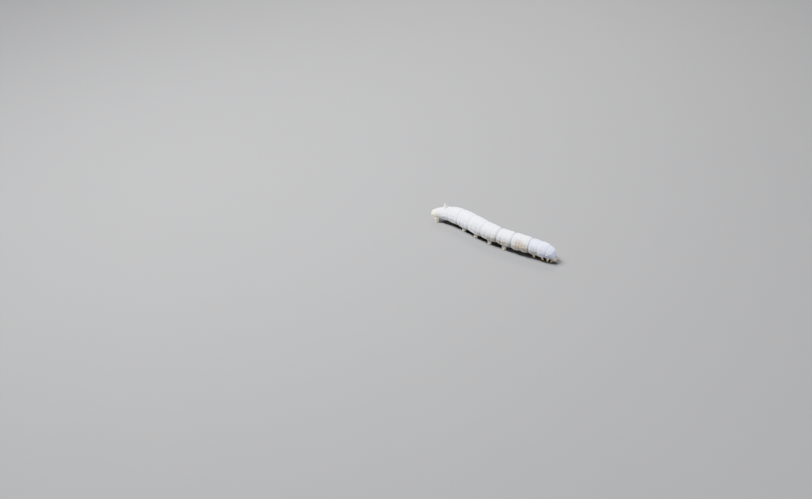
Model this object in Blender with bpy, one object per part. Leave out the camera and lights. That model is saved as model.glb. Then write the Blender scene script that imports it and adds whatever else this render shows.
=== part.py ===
"""A silkworm, the full-grown larva of the domestic silk moth, as a still, life-size model.

It stands on its feet on the floor, its body bent gently sideways and its head turned down as if to feed.
X runs from the tail to the head, Y to the animal's left and Z up. The origin is on the floor, below the
middle of the model's box. Lengths along the body are measured on its centreline, from the tail tip.
"""

import math

import bmesh
import bpy
import numpy as np
from mathutils import Matrix, Vector

MM = 0.001
GAP = 0.3 * MM  # clear space between two parts that meet
CUTTER_GAP = 0.34 * MM  # what a faceted cutter stands off by, to leave the gap clear

# The body from the tail forwards: name, length, half width at its middle, and depth of the groove at its
# front edge as a share of the half width. Three grooves are deep, where the body is drawn in.
SEGMENTS = (
    ("anal_segment", 2.7 * MM, 2.1 * MM, 0.05),
    ("abdomen_9", 2.6 * MM, 2.75 * MM, 0.05),
    ("abdomen_8", 5.0 * MM, 3.5 * MM, 0.06),
    ("abdomen_7", 6.8 * MM, 4.28 * MM, 0.07),
    ("abdomen_6", 7.8 * MM, 4.52 * MM, 0.07),
    ("abdomen_5", 8.3 * MM, 4.55 * MM, 0.07),
    ("abdomen_4", 8.7 * MM, 4.35 * MM, 0.12),
    ("abdomen_3", 8.0 * MM, 4.15 * MM, 0.11),
    ("abdomen_2", 4.8 * MM, 4.38 * MM, 0.055),
    ("abdomen_1", 4.5 * MM, 4.33 * MM, 0.12),
    ("metathorax", 4.8 * MM, 4.02 * MM, 0.055),
    ("mesothorax", 4.5 * MM, 3.97 * MM, 0.06),
    ("prothorax", 3.6 * MM, 3.2 * MM, 0.0),
)
NAMES = [segment[0] for segment in SEGMENTS]
ENDS = np.concatenate([[0.0], np.cumsum([segment[1] for segment in SEGMENTS])])
MIDDLES = (ENDS[:-1] + ENDS[1:]) / 2
BODY_LENGTH = ENDS[-1]
TAIL_RADIUS = 1.55 * MM  # half width that the tail's rounding shrinks from
TAIL_ROUNDING = 1.9 * MM  # length over which the tail rounds off
NECK_RADIUS = 2.15 * MM

# Pose. Headings are degrees to the animal's left of +X, and heights are the centreline's above the floor.
HEADINGS = (
    (0.0, 34.0),
    (0.1, 15.5),
    (0.2, -1.5),
    (0.32, -11.5),
    (0.45, -9.5),
    (0.58, -1.0),
    (0.7, 3.5),
    (0.85, 4.0),
    (1.0, 0.0),
)
HEIGHTS = (
    (0.0, 3.25 * MM),
    (0.05, 4.2 * MM),
    (0.12, 4.75 * MM),
    (0.2, 5.1 * MM),
    (0.3, 5.3 * MM),
    (0.5, 5.3 * MM),
    (0.8, 5.15 * MM),
    (0.9, 5.1 * MM),
    (0.95, 4.75 * MM),
    (0.975, 4.15 * MM),
    (1.0, 2.95 * MM),
)
TAIL_TIP = Vector((-36.2 * MM, -1.94 * MM))  # where the centreline starts, seen from above

# Body section and relief
BELLY_SHARE = 0.88  # height of the belly below the centreline, as a share of the half width
BELLY_SQUARENESS = 0.82  # 1 is an ellipse, less is flatter underneath
GROOVE_WIDTH = 0.85 * MM
GROOVE_ON_BELLY = 0.55  # depth of a groove on the belly, as a share of its depth on the back
FOLD_WIDTH = 0.5 * MM
FOLD_DEPTH = 0.028
FOLDS = {"anal_segment": (), "abdomen_9": (0.5,), "mesothorax": (0.52,), "metathorax": (0.36, 0.7)}
USUAL_FOLDS = (0.33, 0.66)  # shares of a segment's length where its back folds
FLANK_LOBE = 0.055  # swelling below each breathing hole, as a share of the half width
FLANK_LOBE_ANGLE = math.radians(-28)
FLANK_LOBE_SPREAD = math.radians(24)
RING_POINTS = 30
RING_PLACES = (0.0, 0.07, 0.18, 0.33, 0.5, 0.66, 0.82, 0.93, 1.0)
TAIL_RING_PLACES = (0.0, 0.05, 0.14, 0.27, 0.42, 0.6, 0.8, 0.93, 1.0)

# Breathing holes, one on each side of the segments that are not named here
NO_SPIRACLES = ("anal_segment", "abdomen_9", "mesothorax", "metathorax")
SPIRACLE_RADII = (0.34 * MM, 0.5 * MM, 0.22 * MM)  # along the body, up it, and out of it
SPIRACLE_ANGLE = math.radians(4)
SPIRACLE_SINK = 0.08 * MM  # how deep the middle of its raised rim lies in the skin
SPIRACLE_SHARE = 0.46  # place along its segment
FIRST_SPIRACLE_SHARE = 0.3  # the same on the prothorax

# Fleshy feet
PROLEG_SEGMENTS = ("abdomen_3", "abdomen_4", "abdomen_5", "abdomen_6")
PROLEG_ROOT = (1.75 * MM, 2.9 * MM)  # sideways from the centreline, and up from the floor
PROLEG_FOOT = 2.35 * MM  # sideways from the centreline
PROLEG_RADII = (1.75 * MM, 1.55 * MM, 1.25 * MM, 0.94 * MM, 1.02 * MM)
ANAL_ROOT = (0.95 * MM, 3.4 * MM)
ANAL_FOOT = 1.6 * MM
ANAL_RADII = (0.8 * MM, 1.2 * MM, 1.25 * MM, 1.0 * MM, 1.08 * MM)
ANAL_PLACE = 2.2 * MM
ANAL_REACH = 1.0 * MM  # how far the foot stands ahead of its root
ANKLE_SHARE = 0.45  # height of the bend in a fleshy foot, as a share of its root's
FOOT_STEPS = 6

# True legs
# Each pair of true legs: segment, share of its length, then root, knee and foot sideways, and how far
# the foot stands ahead of the root
TRUE_LEGS = (
    ("foreleg", "prothorax", 0.26, 1.25 * MM, 2.0 * MM, 1.4 * MM, -0.1 * MM),
    ("midleg", "mesothorax", 0.5, 1.4 * MM, 2.2 * MM, 1.4 * MM, 0.6 * MM),
    ("hindleg", "metathorax", 0.5, 1.5 * MM, 2.35 * MM, 1.5 * MM, 0.6 * MM),
)
TRUE_LEG_ROOT_HEIGHT = 3.0 * MM
TRUE_LEG_KNEE_HEIGHT = 1.5 * MM
SHIN_SHARE = 0.6  # heights of the shin and the ankle, as shares of the knee's
TRUE_ANKLE_SHARE = 0.25
KNEE_REACH = 0.2  # how far ahead the knee and the shin stand, as shares of the foot's reach
SHIN_REACH = 0.9
TRUE_LEG_RADII = (0.72 * MM, 0.62 * MM, 0.46 * MM, 0.32 * MM, 0.22 * MM)
TRUE_LEG_STEPS = 7

# Tail horn
HORN_SHARE = 0.5  # place along abdomen_8
HORN_LENGTH = 2.7 * MM
HORN_LEAN = math.radians(7)  # backwards from upright
HORN_ROOT_DEPTH = 1.0 * MM  # how far below the back it starts
HORN_BOW = 0.25 * MM  # how far its middle is bent forwards
HORN_RADII = (1.65 * MM, 1.25 * MM, 0.84 * MM, 0.5 * MM, 0.22 * MM)
HORN_STEPS = 6

# Head, in its own frame: X out of the face, Y left, Z to the crown
HEAD_PITCH = math.radians(78)
HEAD_AHEAD = 0.85 * MM  # of the neck's middle, square to the neck
HEAD_DROP = 0.1 * MM
LOBE_OFFSET = 0.43 * MM
LOBE_RADII = (1.5 * MM, 1.42 * MM, 1.78 * MM)
CORE = ((-0.2 * MM, 0.0, 0.0), (1.25 * MM, 1.2 * MM, 1.5 * MM))
# The face's rounded pieces: name, place, radii and tilt; the first table's stand on both sides
PAIRED_MOUTHPARTS = (
    ("mandible", (0.8 * MM, 0.4 * MM, -1.58 * MM), (0.46 * MM, 0.44 * MM, 0.6 * MM), 0.25),
    ("maxilla", (0.12 * MM, 0.62 * MM, -1.7 * MM), (0.4 * MM, 0.36 * MM, 0.55 * MM), -0.1),
)
MIDDLE_PIECES = (
    ("face", (0.62 * MM, 0.0, -0.6 * MM), (0.92 * MM, 0.85 * MM, 1.0 * MM), 0.2),
    ("upper_lip", (1.1 * MM, 0.0, -1.3 * MM), (0.42 * MM, 0.66 * MM, 0.36 * MM), 0.3),
    ("lower_lip", (-0.02 * MM, 0.0, -1.7 * MM), (0.5 * MM, 0.38 * MM, 0.5 * MM), 0.0),
    ("spinneret", (0.12 * MM, 0.0, -2.15 * MM), (0.26 * MM, 0.26 * MM, 0.4 * MM), -0.3),
)
ANTENNA_BASE = Vector((1.1 * MM, 1.15 * MM, -0.95 * MM))
ANTENNA_TIP = Vector((1.62 * MM, 1.85 * MM, -1.3 * MM))
ANTENNA_RADII = (0.3 * MM, 0.27 * MM, 0.18 * MM)
ANTENNA_STEPS = 4
EYE_RADIUS = 0.14 * MM
EYES_AROUND = math.radians(38)  # middle of the six simple eyes, from straight ahead round to the side
EYES_ABOVE = math.radians(-30)
EYE_ARC_RADIUS = 0.36  # radians over the cheek
EYE_ARC_START = math.radians(-62)
EYE_ARC_STEP = math.radians(31)
LAST_EYE = (-0.34, -0.12)  # radians across and up from the middle
NECK_BLOCK = (6 * MM, 12 * MM, 12 * MM)  # block that cuts the head's back flat


def clear_scene():
    for item in list(bpy.data.objects):
        bpy.data.objects.remove(item, do_unlink=True)


def collection_named(name):
    made = bpy.data.collections.new(name)
    bpy.context.scene.collection.children.link(made)
    return made


def material(name, colour, roughness):
    made = bpy.data.materials.new(name)
    made.use_nodes = True
    shader = made.node_tree.nodes["Principled BSDF"]
    shader.inputs["Base Color"].default_value = (*colour, 1.0)
    shader.inputs["Roughness"].default_value = roughness
    shader.inputs["Metallic"].default_value = 0.0
    return made


def smooth_through(stations, at):
    """Values at the places `at` of a smooth curve through (place, value) stations."""
    places = np.array([station[0] for station in stations])
    values = np.array([station[1] for station in stations])
    slopes = np.gradient(values, places)
    at = np.clip(np.asarray(at, float), places[0], places[-1])
    left = np.clip(np.searchsorted(places, at, side="right") - 1, 0, len(places) - 2)
    width = places[left + 1] - places[left]
    t = (at - places[left]) / width
    start = (2 * t**3 - 3 * t**2 + 1) * values[left] + (t**3 - 2 * t**2 + t) * width * slopes[left]
    end = (3 * t**2 - 2 * t**3) * values[left + 1] + (t**3 - t**2) * width * slopes[left + 1]
    return start + end


def centreline():
    """Places along the body and the centreline's points there, by adding up short steps."""
    along = np.linspace(0.0, BODY_LENGTH, 600)
    share = along / BODY_LENGTH
    height = smooth_through(HEIGHTS, share)
    heading = np.radians(smooth_through(HEADINGS, share))
    rise = np.gradient(height, along)
    flat_step = np.sqrt(1 - rise**2) * (along[1] - along[0])
    middle = (heading[:-1] + heading[1:]) / 2
    x = TAIL_TIP.x + np.concatenate([[0.0], np.cumsum(flat_step[:-1] * np.cos(middle))])
    y = TAIL_TIP.y + np.concatenate([[0.0], np.cumsum(flat_step[:-1] * np.sin(middle))])
    return along, np.stack([x, y, height], axis=1), heading, np.arcsin(rise)


ALONG, LINE, HEADING, PITCH = centreline()


def body_frame(place):
    """Matrix at a place along the body: X forwards, Y left, Z up the body, origin on the centreline."""
    centre = Vector([np.interp(place, ALONG, LINE[:, axis]) for axis in range(3)])
    heading = float(np.interp(place, ALONG, HEADING))
    pitch = float(np.interp(place, ALONG, PITCH))
    turn = Matrix.Rotation(heading, 4, "Z") @ Matrix.Rotation(-pitch, 4, "Y")
    return Matrix.Translation(centre) @ turn


def envelope(place):
    """Half width of the body before its grooves and folds."""
    stations = [(0.0, TAIL_RADIUS)]
    stations += [(middle, segment[2]) for middle, segment in zip(MIDDLES, SEGMENTS)]
    stations += [(BODY_LENGTH, NECK_RADIUS)]
    width = float(smooth_through(stations, place))
    if place < TAIL_ROUNDING:
        width *= math.sqrt(max(0.02, 1 - (1 - place / TAIL_ROUNDING) ** 2))
    return width


def groove_depth(place):
    """Depth of the grooves between segments, as a share of the half width."""
    depth = 0.0
    for edge, segment in zip(ENDS[1:], SEGMENTS):
        depth += segment[3] * math.exp(-(((place - edge) / GROOVE_WIDTH) ** 2))
    return depth


def fold_depth(place):
    """Depth of the smaller folds across the back of each segment."""
    depth = 0.0
    for start, segment in zip(ENDS, SEGMENTS):
        for share in FOLDS.get(segment[0], USUAL_FOLDS):
            depth += FOLD_DEPTH * math.exp(-(((place - start - share * segment[1]) / FOLD_WIDTH) ** 2))
    return depth


def flank_lobe(place, angle):
    """The swelling low on each flank, one to a segment."""
    index = min(max(int(np.searchsorted(ENDS, place)) - 1, 0), len(SEGMENTS) - 1)
    share = (place - ENDS[index]) / SEGMENTS[index][1]
    side_angle = math.asin(math.sin(angle))  # the same on both sides
    spread = math.exp(-(((side_angle - FLANK_LOBE_ANGLE) / FLANK_LOBE_SPREAD) ** 2))
    return FLANK_LOBE * max(0.0, math.sin(math.pi * share)) * spread


def body_point(place, angle, outset=0.0):
    """Point of the skin at a place and at an angle up from the animal's left, moved out by outset."""
    back = 0.5 + 0.5 * math.sin(angle)  # 1 on the back, 0 on the belly
    groove_share = GROOVE_ON_BELLY + (1 - GROOVE_ON_BELLY) * back
    share = 1 - groove_depth(place) * groove_share - fold_depth(place) * back
    width = envelope(place) * (share + flank_lobe(place, angle)) + outset
    up = math.sin(angle)
    if up < 0:
        up = -BELLY_SHARE * abs(up) ** BELLY_SQUARENESS
    return body_frame(place) @ Vector((0.0, width * math.cos(angle), width * up))


def mesh_object(name, mesh, collection, finish=None):
    made = bpy.data.objects.new(name, mesh)
    collection.objects.link(made)
    if finish is not None:
        mesh.materials.append(finish)
    return made


def lofted(name, rings, collection, finish=None):
    """A closed solid through rings of points, each ring capped flat at the ends."""
    shape = bmesh.new()
    made = [[shape.verts.new(point) for point in ring] for ring in rings]
    count = len(rings[0])
    for near, far in zip(made, made[1:]):
        for i in range(count):
            j = (i + 1) % count
            shape.faces.new((near[i], near[j], far[j], far[i]))
    shape.faces.new(made[0])
    shape.faces.new(made[-1])
    bmesh.ops.recalc_face_normals(shape, faces=shape.faces)
    mesh = bpy.data.meshes.new(name)
    shape.to_mesh(mesh)
    shape.free()
    return mesh_object(name, mesh, collection, finish)


def ellipsoid(name, matrix, radii, collection, segments=16, rings=10):
    shape = bmesh.new()
    size = Matrix.Diagonal((*radii, 1.0))
    bmesh.ops.create_uvsphere(
        shape, u_segments=segments, v_segments=rings, radius=1.0, matrix=matrix @ size
    )
    mesh = bpy.data.meshes.new(name)
    shape.to_mesh(mesh)
    shape.free()
    return mesh_object(name, mesh, collection)


def as_mesh(item, collection, finish=None):
    """Turns a curve object into a mesh object of the same name, with its end caps welded on."""
    name = item.name
    graph = bpy.context.evaluated_depsgraph_get()
    mesh = bpy.data.meshes.new_from_object(item.evaluated_get(graph))
    place = item.matrix_world.copy()
    bpy.data.objects.remove(item, do_unlink=True)
    shape = bmesh.new()
    shape.from_mesh(mesh)
    bmesh.ops.remove_doubles(shape, verts=shape.verts, dist=0.001 * MM)
    bmesh.ops.recalc_face_normals(shape, faces=shape.faces)
    shape.to_mesh(mesh)
    shape.free()
    made = mesh_object(name, mesh, collection, finish)
    made.matrix_world = place
    return made


def tube(name, path, radii, collection, finish=None, resolution=3):
    """A tapering tube along a path, one radius for each of its points."""
    curve = bpy.data.curves.new(name, "CURVE")
    curve.dimensions = "3D"
    curve.bevel_depth = MM
    curve.bevel_resolution = resolution
    curve.use_fill_caps = True
    spline = curve.splines.new("POLY")
    spline.points.add(len(path) - 1)
    for target, point, radius in zip(spline.points, path, radii):
        target.co = (*point, 1.0)
        target.radius = radius / MM
    made = bpy.data.objects.new(name, curve)
    collection.objects.link(made)
    return as_mesh(made, collection, finish)


def bent_path(points, steps):
    """A path of steps + 1 points along the curve that the control points pull into shape."""
    path = []
    for step in range(steps + 1):
        t = step / steps
        layer = [Vector(point) for point in points]
        while len(layer) > 1:
            layer = [a.lerp(b, t) for a, b in zip(layer, layer[1:])]
        path.append(layer[0])
    return path


def spread_radii(radii, count):
    """The radii read off at evenly spread points of a path."""
    shares = np.linspace(0.0, 1.0, len(radii))
    return smooth_through(list(zip(shares, radii)), np.linspace(0.0, 1.0, count))


def apply_modifiers(item):
    graph = bpy.context.evaluated_depsgraph_get()
    mesh = bpy.data.meshes.new_from_object(item.evaluated_get(graph))
    item.modifiers.clear()
    item.data = mesh


def keep_largest(item):
    """Leaves only the largest of the closed surfaces that the object's mesh holds."""
    shape = bmesh.new()
    shape.from_mesh(item.data)
    left = set(shape.verts)
    groups = []
    while left:
        group = {left.pop()}
        edge_of_group = list(group)
        while edge_of_group:
            vertex = edge_of_group.pop()
            for edge in vertex.link_edges:
                other = edge.other_vert(vertex)
                if other in left:
                    left.discard(other)
                    group.add(other)
                    edge_of_group.append(other)
        groups.append(group)
    largest = max(groups, key=lambda group: box_volume(group))
    bmesh.ops.delete(shape, geom=[v for v in shape.verts if v not in largest], context="VERTS")
    shape.to_mesh(item.data)
    shape.free()


def box_volume(vertices):
    points = np.array([vertex.co for vertex in vertices])
    return float(np.prod(points.max(axis=0) - points.min(axis=0)))


def fuse(item, pieces):
    """Joins the objects of the collection `pieces` to the object, and removes them."""
    join = item.modifiers.new("join", "BOOLEAN")
    join.operation = "UNION"
    join.solver = "MANIFOLD"
    join.operand_type = "COLLECTION"
    join.collection = pieces
    apply_modifiers(item)
    for piece in list(pieces.objects):
        bpy.data.objects.remove(piece, do_unlink=True)
    bpy.data.collections.remove(pieces)
    keep_largest(item)


def trim(item, cutter):
    """Cuts the object back where the cutter lies."""
    cut = item.modifiers.new("trim", "BOOLEAN")
    cut.operation = "DIFFERENCE"
    cut.solver = "EXACT"
    cut.object = cutter
    apply_modifiers(item)
    keep_largest(item)


def ring_at(place):
    angles = [2 * math.pi * i / RING_POINTS for i in range(RING_POINTS)]
    return [body_point(place, angle) for angle in angles]


def make_segment(index, collection, finish):
    """One segment of the body, from groove to groove, half a gap short at each end."""
    name, length = SEGMENTS[index][:2]
    start = ENDS[index] + (GAP / 2 if index else 0.0)
    end = ENDS[index + 1] - GAP / 2
    places = RING_PLACES if index else TAIL_RING_PLACES
    rings = [ring_at(start + (end - start) * share) for share in places]
    made = lofted(name, rings, collection, finish)
    if name in NO_SPIRACLES:
        return made
    pieces = collection_named(f"{name}_breathing_holes")
    share = FIRST_SPIRACLE_SHARE if name == "prothorax" else SPIRACLE_SHARE
    place = ENDS[index] + share * length
    for side in (1, -1):
        angle = SPIRACLE_ANGLE if side > 0 else math.pi - SPIRACLE_ANGLE
        centre = body_point(place, angle, -SPIRACLE_SINK)
        turn = body_frame(place).to_3x3().to_4x4()
        along, up, out = SPIRACLE_RADII
        ellipsoid(f"{name}_hole", Matrix.Translation(centre) @ turn, (along, out, up), pieces, 10, 6)
    fuse(made, pieces)
    return made


def make_clearance(collection):
    """The whole body swollen by a little over one gap: what grows from the body is cut back to it."""
    places = []
    for index in range(len(SEGMENTS)):
        shares = RING_PLACES if index else TAIL_RING_PLACES
        places += [ENDS[index] + share * SEGMENTS[index][1] for share in shares[:-1]]
    places.append(BODY_LENGTH)
    made = lofted("body_clearance", [ring_at(place) for place in places], collection)
    moves = [vertex.normal * CUTTER_GAP for vertex in made.data.vertices]
    for vertex, move in zip(made.data.vertices, moves):
        vertex.co += move
    made.hide_render = True
    made.display_type = "WIRE"
    return made


def beside(place, sideways, height, ahead=0.0):
    """A point level with a place on the body, given sideways of its centreline and above the floor."""
    point = body_frame(place) @ Vector((ahead, sideways, 0.0))
    point.z = height
    return point


def make_foot(name, place, side, root, foot, reach, radii, clearance, collection, finish):
    """A fleshy foot: a soft cone from inside the body to a flat sole on the floor."""
    top = beside(place, side * root[0], root[1])
    sole = beside(place, side * foot, 0.0, reach)
    ankle = beside(place, side * foot, ANKLE_SHARE * root[1], reach)
    path = bent_path((top, ankle, sole), FOOT_STEPS)
    path[-2].x, path[-2].y = path[-1].x, path[-1].y  # so that the sole is level
    made = tube(name, path, spread_radii(radii, len(path)), collection, finish, resolution=5)
    trim(made, clearance)
    return made


def make_true_leg(name, segment, side, sizes, clearance, collection, finish):
    """A jointed leg that bends out to a knee and in again to its claw."""
    share, root, knee, foot, ahead = sizes
    index = NAMES.index(segment)
    place = ENDS[index] + share * SEGMENTS[index][1]
    path = bent_path(
        (
            beside(place, side * root, TRUE_LEG_ROOT_HEIGHT),
            beside(place, side * knee, TRUE_LEG_KNEE_HEIGHT, ahead * KNEE_REACH),
            beside(place, side * knee, SHIN_SHARE * TRUE_LEG_KNEE_HEIGHT, ahead * SHIN_REACH),
            beside(place, side * foot, TRUE_ANKLE_SHARE * TRUE_LEG_KNEE_HEIGHT, ahead),
            beside(place, side * foot, 0.0, ahead),
        ),
        TRUE_LEG_STEPS,
    )
    path[-2].x, path[-2].y = path[-1].x, path[-1].y
    made = tube(name, path, spread_radii(TRUE_LEG_RADII, len(path)), collection, finish)
    trim(made, clearance)
    return made


def make_horn(clearance, collection, finish):
    index = NAMES.index("abdomen_8")
    place = ENDS[index] + HORN_SHARE * SEGMENTS[index][1]
    frame = body_frame(place)
    back = body_point(place, math.pi / 2)
    up = frame.to_3x3() @ Vector((-math.sin(HORN_LEAN), 0.0, math.cos(HORN_LEAN)))
    root = back - up * HORN_ROOT_DEPTH
    tip = back + up * HORN_LENGTH
    bow = frame.to_3x3() @ Vector((HORN_BOW, 0.0, 0.0))
    path = bent_path((root, (root + tip) / 2 + bow, tip), HORN_STEPS)
    made = tube("caudal_horn", path, spread_radii(HORN_RADII, len(path)), collection, finish, resolution=4)
    trim(made, clearance)
    return made


def head_frame():
    """Matrix of the head: origin between the cheeks, X out of the face, Z to the crown."""
    neck = body_frame(BODY_LENGTH)
    centre = neck @ Vector((HEAD_AHEAD, 0.0, -HEAD_DROP))
    turn = Matrix.Rotation(float(HEADING[-1]), 4, "Z") @ Matrix.Rotation(HEAD_PITCH, 4, "Y")
    return Matrix.Translation(centre) @ turn


def make_head(collection, cutters, finish):
    """Two rounded cheeks that meet in a shallow seam, the face between them, and the mouthparts."""
    frame = head_frame()
    pieces = collection_named("head_pieces")

    def lump(name, place, radii, tilt=0.0, segments=14, rings=9):
        local = Matrix.Translation(Vector(place)) @ Matrix.Rotation(tilt, 4, "Y")
        return ellipsoid(name, frame @ local, radii, pieces, segments, rings)

    for side in (1, -1):
        lump("cheek", (0.0, side * LOBE_OFFSET, 0.0), LOBE_RADII, 0.0, 20, 14)
        for name, (along, across, high), radii, tilt in PAIRED_MOUTHPARTS:
            lump(name, (along, side * across, high), radii, tilt)
        for number in range(6):
            lump("eye", eye_place(number, side), (EYE_RADIUS,) * 3, 0.0, 8, 6)
    for name, place, radii, tilt in MIDDLE_PIECES:
        lump(name, place, radii, tilt)
    base = lump("core", *CORE)
    pieces.objects.unlink(base)
    collection.objects.link(base)
    base.name = "head"
    fuse(base, pieces)
    base.data.materials.clear()
    base.data.materials.append(finish)
    trim(base, make_neck_cutter(cutters))
    return base


def eye_place(number, side):
    """Place of one of a cheek's six simple eyes: five in an arc and the sixth behind them."""
    across, upward = LAST_EYE
    if number < 5:
        turn = EYE_ARC_START + EYE_ARC_STEP * number
        across, upward = EYE_ARC_RADIUS * math.cos(turn), EYE_ARC_RADIUS * math.sin(turn)
    around = EYES_AROUND - across
    above = EYES_ABOVE + upward
    along, wide, high = LOBE_RADII
    x = along * math.cos(around) * math.cos(above)
    y = LOBE_OFFSET + wide * math.sin(around) * math.cos(above)
    z = high * math.sin(above)
    return Vector((x, side * y, z))


def make_neck_cutter(cutters):
    """A block behind the neck's plane that gives the head its flat back, one gap from the neck."""
    neck = body_frame(BODY_LENGTH)
    shape = bmesh.new()
    middle = Matrix.Translation(Vector((GAP / 2 - NECK_BLOCK[0] / 2, 0.0, 0.0)))
    size = Matrix.Diagonal((*NECK_BLOCK, 1.0))
    bmesh.ops.create_cube(shape, size=1.0, matrix=neck @ middle @ size)
    mesh = bpy.data.meshes.new("neck_plane")
    shape.to_mesh(mesh)
    shape.free()
    made = mesh_object("neck_plane", mesh, cutters)
    made.hide_render = True
    made.display_type = "WIRE"
    return made


def make_antennae(collection, cutters, finish):
    """Two short feelers beside the jaws, cut clear of the head by one gap."""
    frame = head_frame()
    for side, word in ((1, "left"), (-1, "right")):
        base = Vector((ANTENNA_BASE.x, side * ANTENNA_BASE.y, ANTENNA_BASE.z))
        tip = Vector((ANTENNA_TIP.x, side * ANTENNA_TIP.y, ANTENNA_TIP.z))
        path = [frame @ point for point in bent_path((base, tip), ANTENNA_STEPS)]
        made = tube(f"antenna_{word}", path, spread_radii(ANTENNA_RADII, len(path)), collection, finish, 2)
        cheek = frame @ Matrix.Translation(Vector((0.0, side * LOBE_OFFSET, 0.0)))
        radii = [radius + CUTTER_GAP for radius in LOBE_RADII]
        around = ellipsoid(f"cheek_clearance_{word}", cheek, radii, cutters, 20, 14)
        around.hide_render = True
        around.display_type = "WIRE"
        trim(made, around)


def shade_smooth(item):
    item.data.shade_smooth()
    item.data.set_sharp_from_angle(angle=math.radians(40))


def main():
    clear_scene()
    worm = collection_named("silkworm")
    cutters = collection_named("cutters")
    skin = material("silkworm_skin", (0.86, 0.85, 0.86), 0.6)
    tail_skin = material("silkworm_tail_skin", (0.82, 0.76, 0.62), 0.6)
    shell = material("silkworm_head_shell", (0.55, 0.44, 0.32), 0.45)
    horny = material("silkworm_leg_shell", (0.66, 0.5, 0.33), 0.45)

    for index, name in enumerate(NAMES):
        make_segment(index, worm, tail_skin if name == "anal_segment" else skin)
    clearance = make_clearance(cutters)
    for side, word in ((1, "left"), (-1, "right")):
        for segment in PROLEG_SEGMENTS:
            name = f"proleg_{segment[-1]}_{word}"
            place = MIDDLES[NAMES.index(segment)]
            make_foot(name, place, side, PROLEG_ROOT, PROLEG_FOOT, 0.0, PROLEG_RADII, clearance, worm, skin)
        name = f"anal_proleg_{word}"
        make_foot(
            name, ANAL_PLACE, side, ANAL_ROOT, ANAL_FOOT, ANAL_REACH, ANAL_RADII, clearance, worm, tail_skin
        )
        for name, segment, *sizes in TRUE_LEGS:
            make_true_leg(f"{name}_{word}", segment, side, sizes, clearance, worm, horny)
    make_horn(clearance, worm, tail_skin)
    make_head(worm, cutters, shell)
    make_antennae(worm, cutters, horny)
    for item in worm.objects:
        shade_smooth(item)


main()
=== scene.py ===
# %% [markdown]
# # A silkworm, dressed over its solids
#
# The silkworm is the full-grown larva of the silk moth: a soft white tube of thirteen segments, a small
# horny head that it tucks down, three pairs of jointed legs behind the head, four pairs of fleshy feet under
# the belly, a pair of claspers at the tail, and one soft horn on its back. The solids already give its pose
# and its size. This lesson loads them and builds over them what the solids leave out: one skin without
# seams, its folds, and the finish of each surface.

# %% Load the solids
import math
import random

import bpy
import numpy as np
from mathutils import Matrix, Vector, noise


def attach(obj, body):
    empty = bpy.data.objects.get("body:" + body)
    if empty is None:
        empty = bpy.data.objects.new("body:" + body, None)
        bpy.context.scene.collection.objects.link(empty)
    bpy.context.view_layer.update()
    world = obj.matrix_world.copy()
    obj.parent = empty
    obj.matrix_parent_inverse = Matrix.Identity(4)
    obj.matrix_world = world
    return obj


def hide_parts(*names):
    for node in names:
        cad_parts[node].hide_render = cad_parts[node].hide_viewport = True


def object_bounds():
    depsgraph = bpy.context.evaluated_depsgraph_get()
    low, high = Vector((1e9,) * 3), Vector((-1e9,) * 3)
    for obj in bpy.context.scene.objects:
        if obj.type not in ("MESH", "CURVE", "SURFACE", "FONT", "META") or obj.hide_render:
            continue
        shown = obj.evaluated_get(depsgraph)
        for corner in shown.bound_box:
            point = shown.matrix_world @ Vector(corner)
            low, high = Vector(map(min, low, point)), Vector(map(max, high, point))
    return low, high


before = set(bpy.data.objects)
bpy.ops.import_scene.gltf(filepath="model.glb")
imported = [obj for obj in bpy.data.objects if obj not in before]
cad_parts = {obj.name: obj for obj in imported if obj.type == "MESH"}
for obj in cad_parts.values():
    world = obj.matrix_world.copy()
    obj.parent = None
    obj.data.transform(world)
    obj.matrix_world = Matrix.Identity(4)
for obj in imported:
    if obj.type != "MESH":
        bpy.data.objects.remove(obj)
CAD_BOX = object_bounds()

MM = 0.001


def in_mm(values):
    return [round(float(value) / MM, 2) for value in values]


print("solids:", len(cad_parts), "box in mm:", *[in_mm(corner) for corner in CAD_BOX])

# %% [markdown]
# ## The body in numbers
#
# A skin could be shrunk onto the solids, but then every slit between two solids would print through. It is
# cleaner to make the body again from the sizes that the solids were made from: a centreline that bends on
# the floor, a half width for each segment, and one rule for the section. The same rule later tells any point
# of the skin where it is on the animal, which is what folds and colours need.

# %% Segments, pose and section
SEGMENTS = (  # from the tail: name, length, half width, depth of the groove at the front edge as a share
    ("anal_segment", 2.7 * MM, 2.1 * MM, 0.05),
    ("abdomen_9", 2.6 * MM, 2.75 * MM, 0.05),
    ("abdomen_8", 5.0 * MM, 3.5 * MM, 0.06),
    ("abdomen_7", 6.8 * MM, 4.28 * MM, 0.07),
    ("abdomen_6", 7.8 * MM, 4.52 * MM, 0.07),
    ("abdomen_5", 8.3 * MM, 4.55 * MM, 0.07),
    ("abdomen_4", 8.7 * MM, 4.35 * MM, 0.12),
    ("abdomen_3", 8.0 * MM, 4.15 * MM, 0.11),
    ("abdomen_2", 4.8 * MM, 4.38 * MM, 0.055),
    ("abdomen_1", 4.5 * MM, 4.33 * MM, 0.12),
    ("metathorax", 4.8 * MM, 4.02 * MM, 0.055),
    ("mesothorax", 4.5 * MM, 3.97 * MM, 0.06),
    ("prothorax", 3.6 * MM, 3.2 * MM, 0.0),
)
NAMES = [segment[0] for segment in SEGMENTS]
LENGTHS = np.array([segment[1] for segment in SEGMENTS])
HALF_WIDTHS = np.array([segment[2] for segment in SEGMENTS])
ENDS = np.concatenate([[0.0], np.cumsum(LENGTHS)])
MIDDLES = (ENDS[:-1] + ENDS[1:]) / 2
BODY_LENGTH = float(ENDS[-1])
TAIL_RADIUS = 1.55 * MM
TAIL_ROUNDING = 1.9 * MM
NECK_RADIUS = 2.15 * MM
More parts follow.
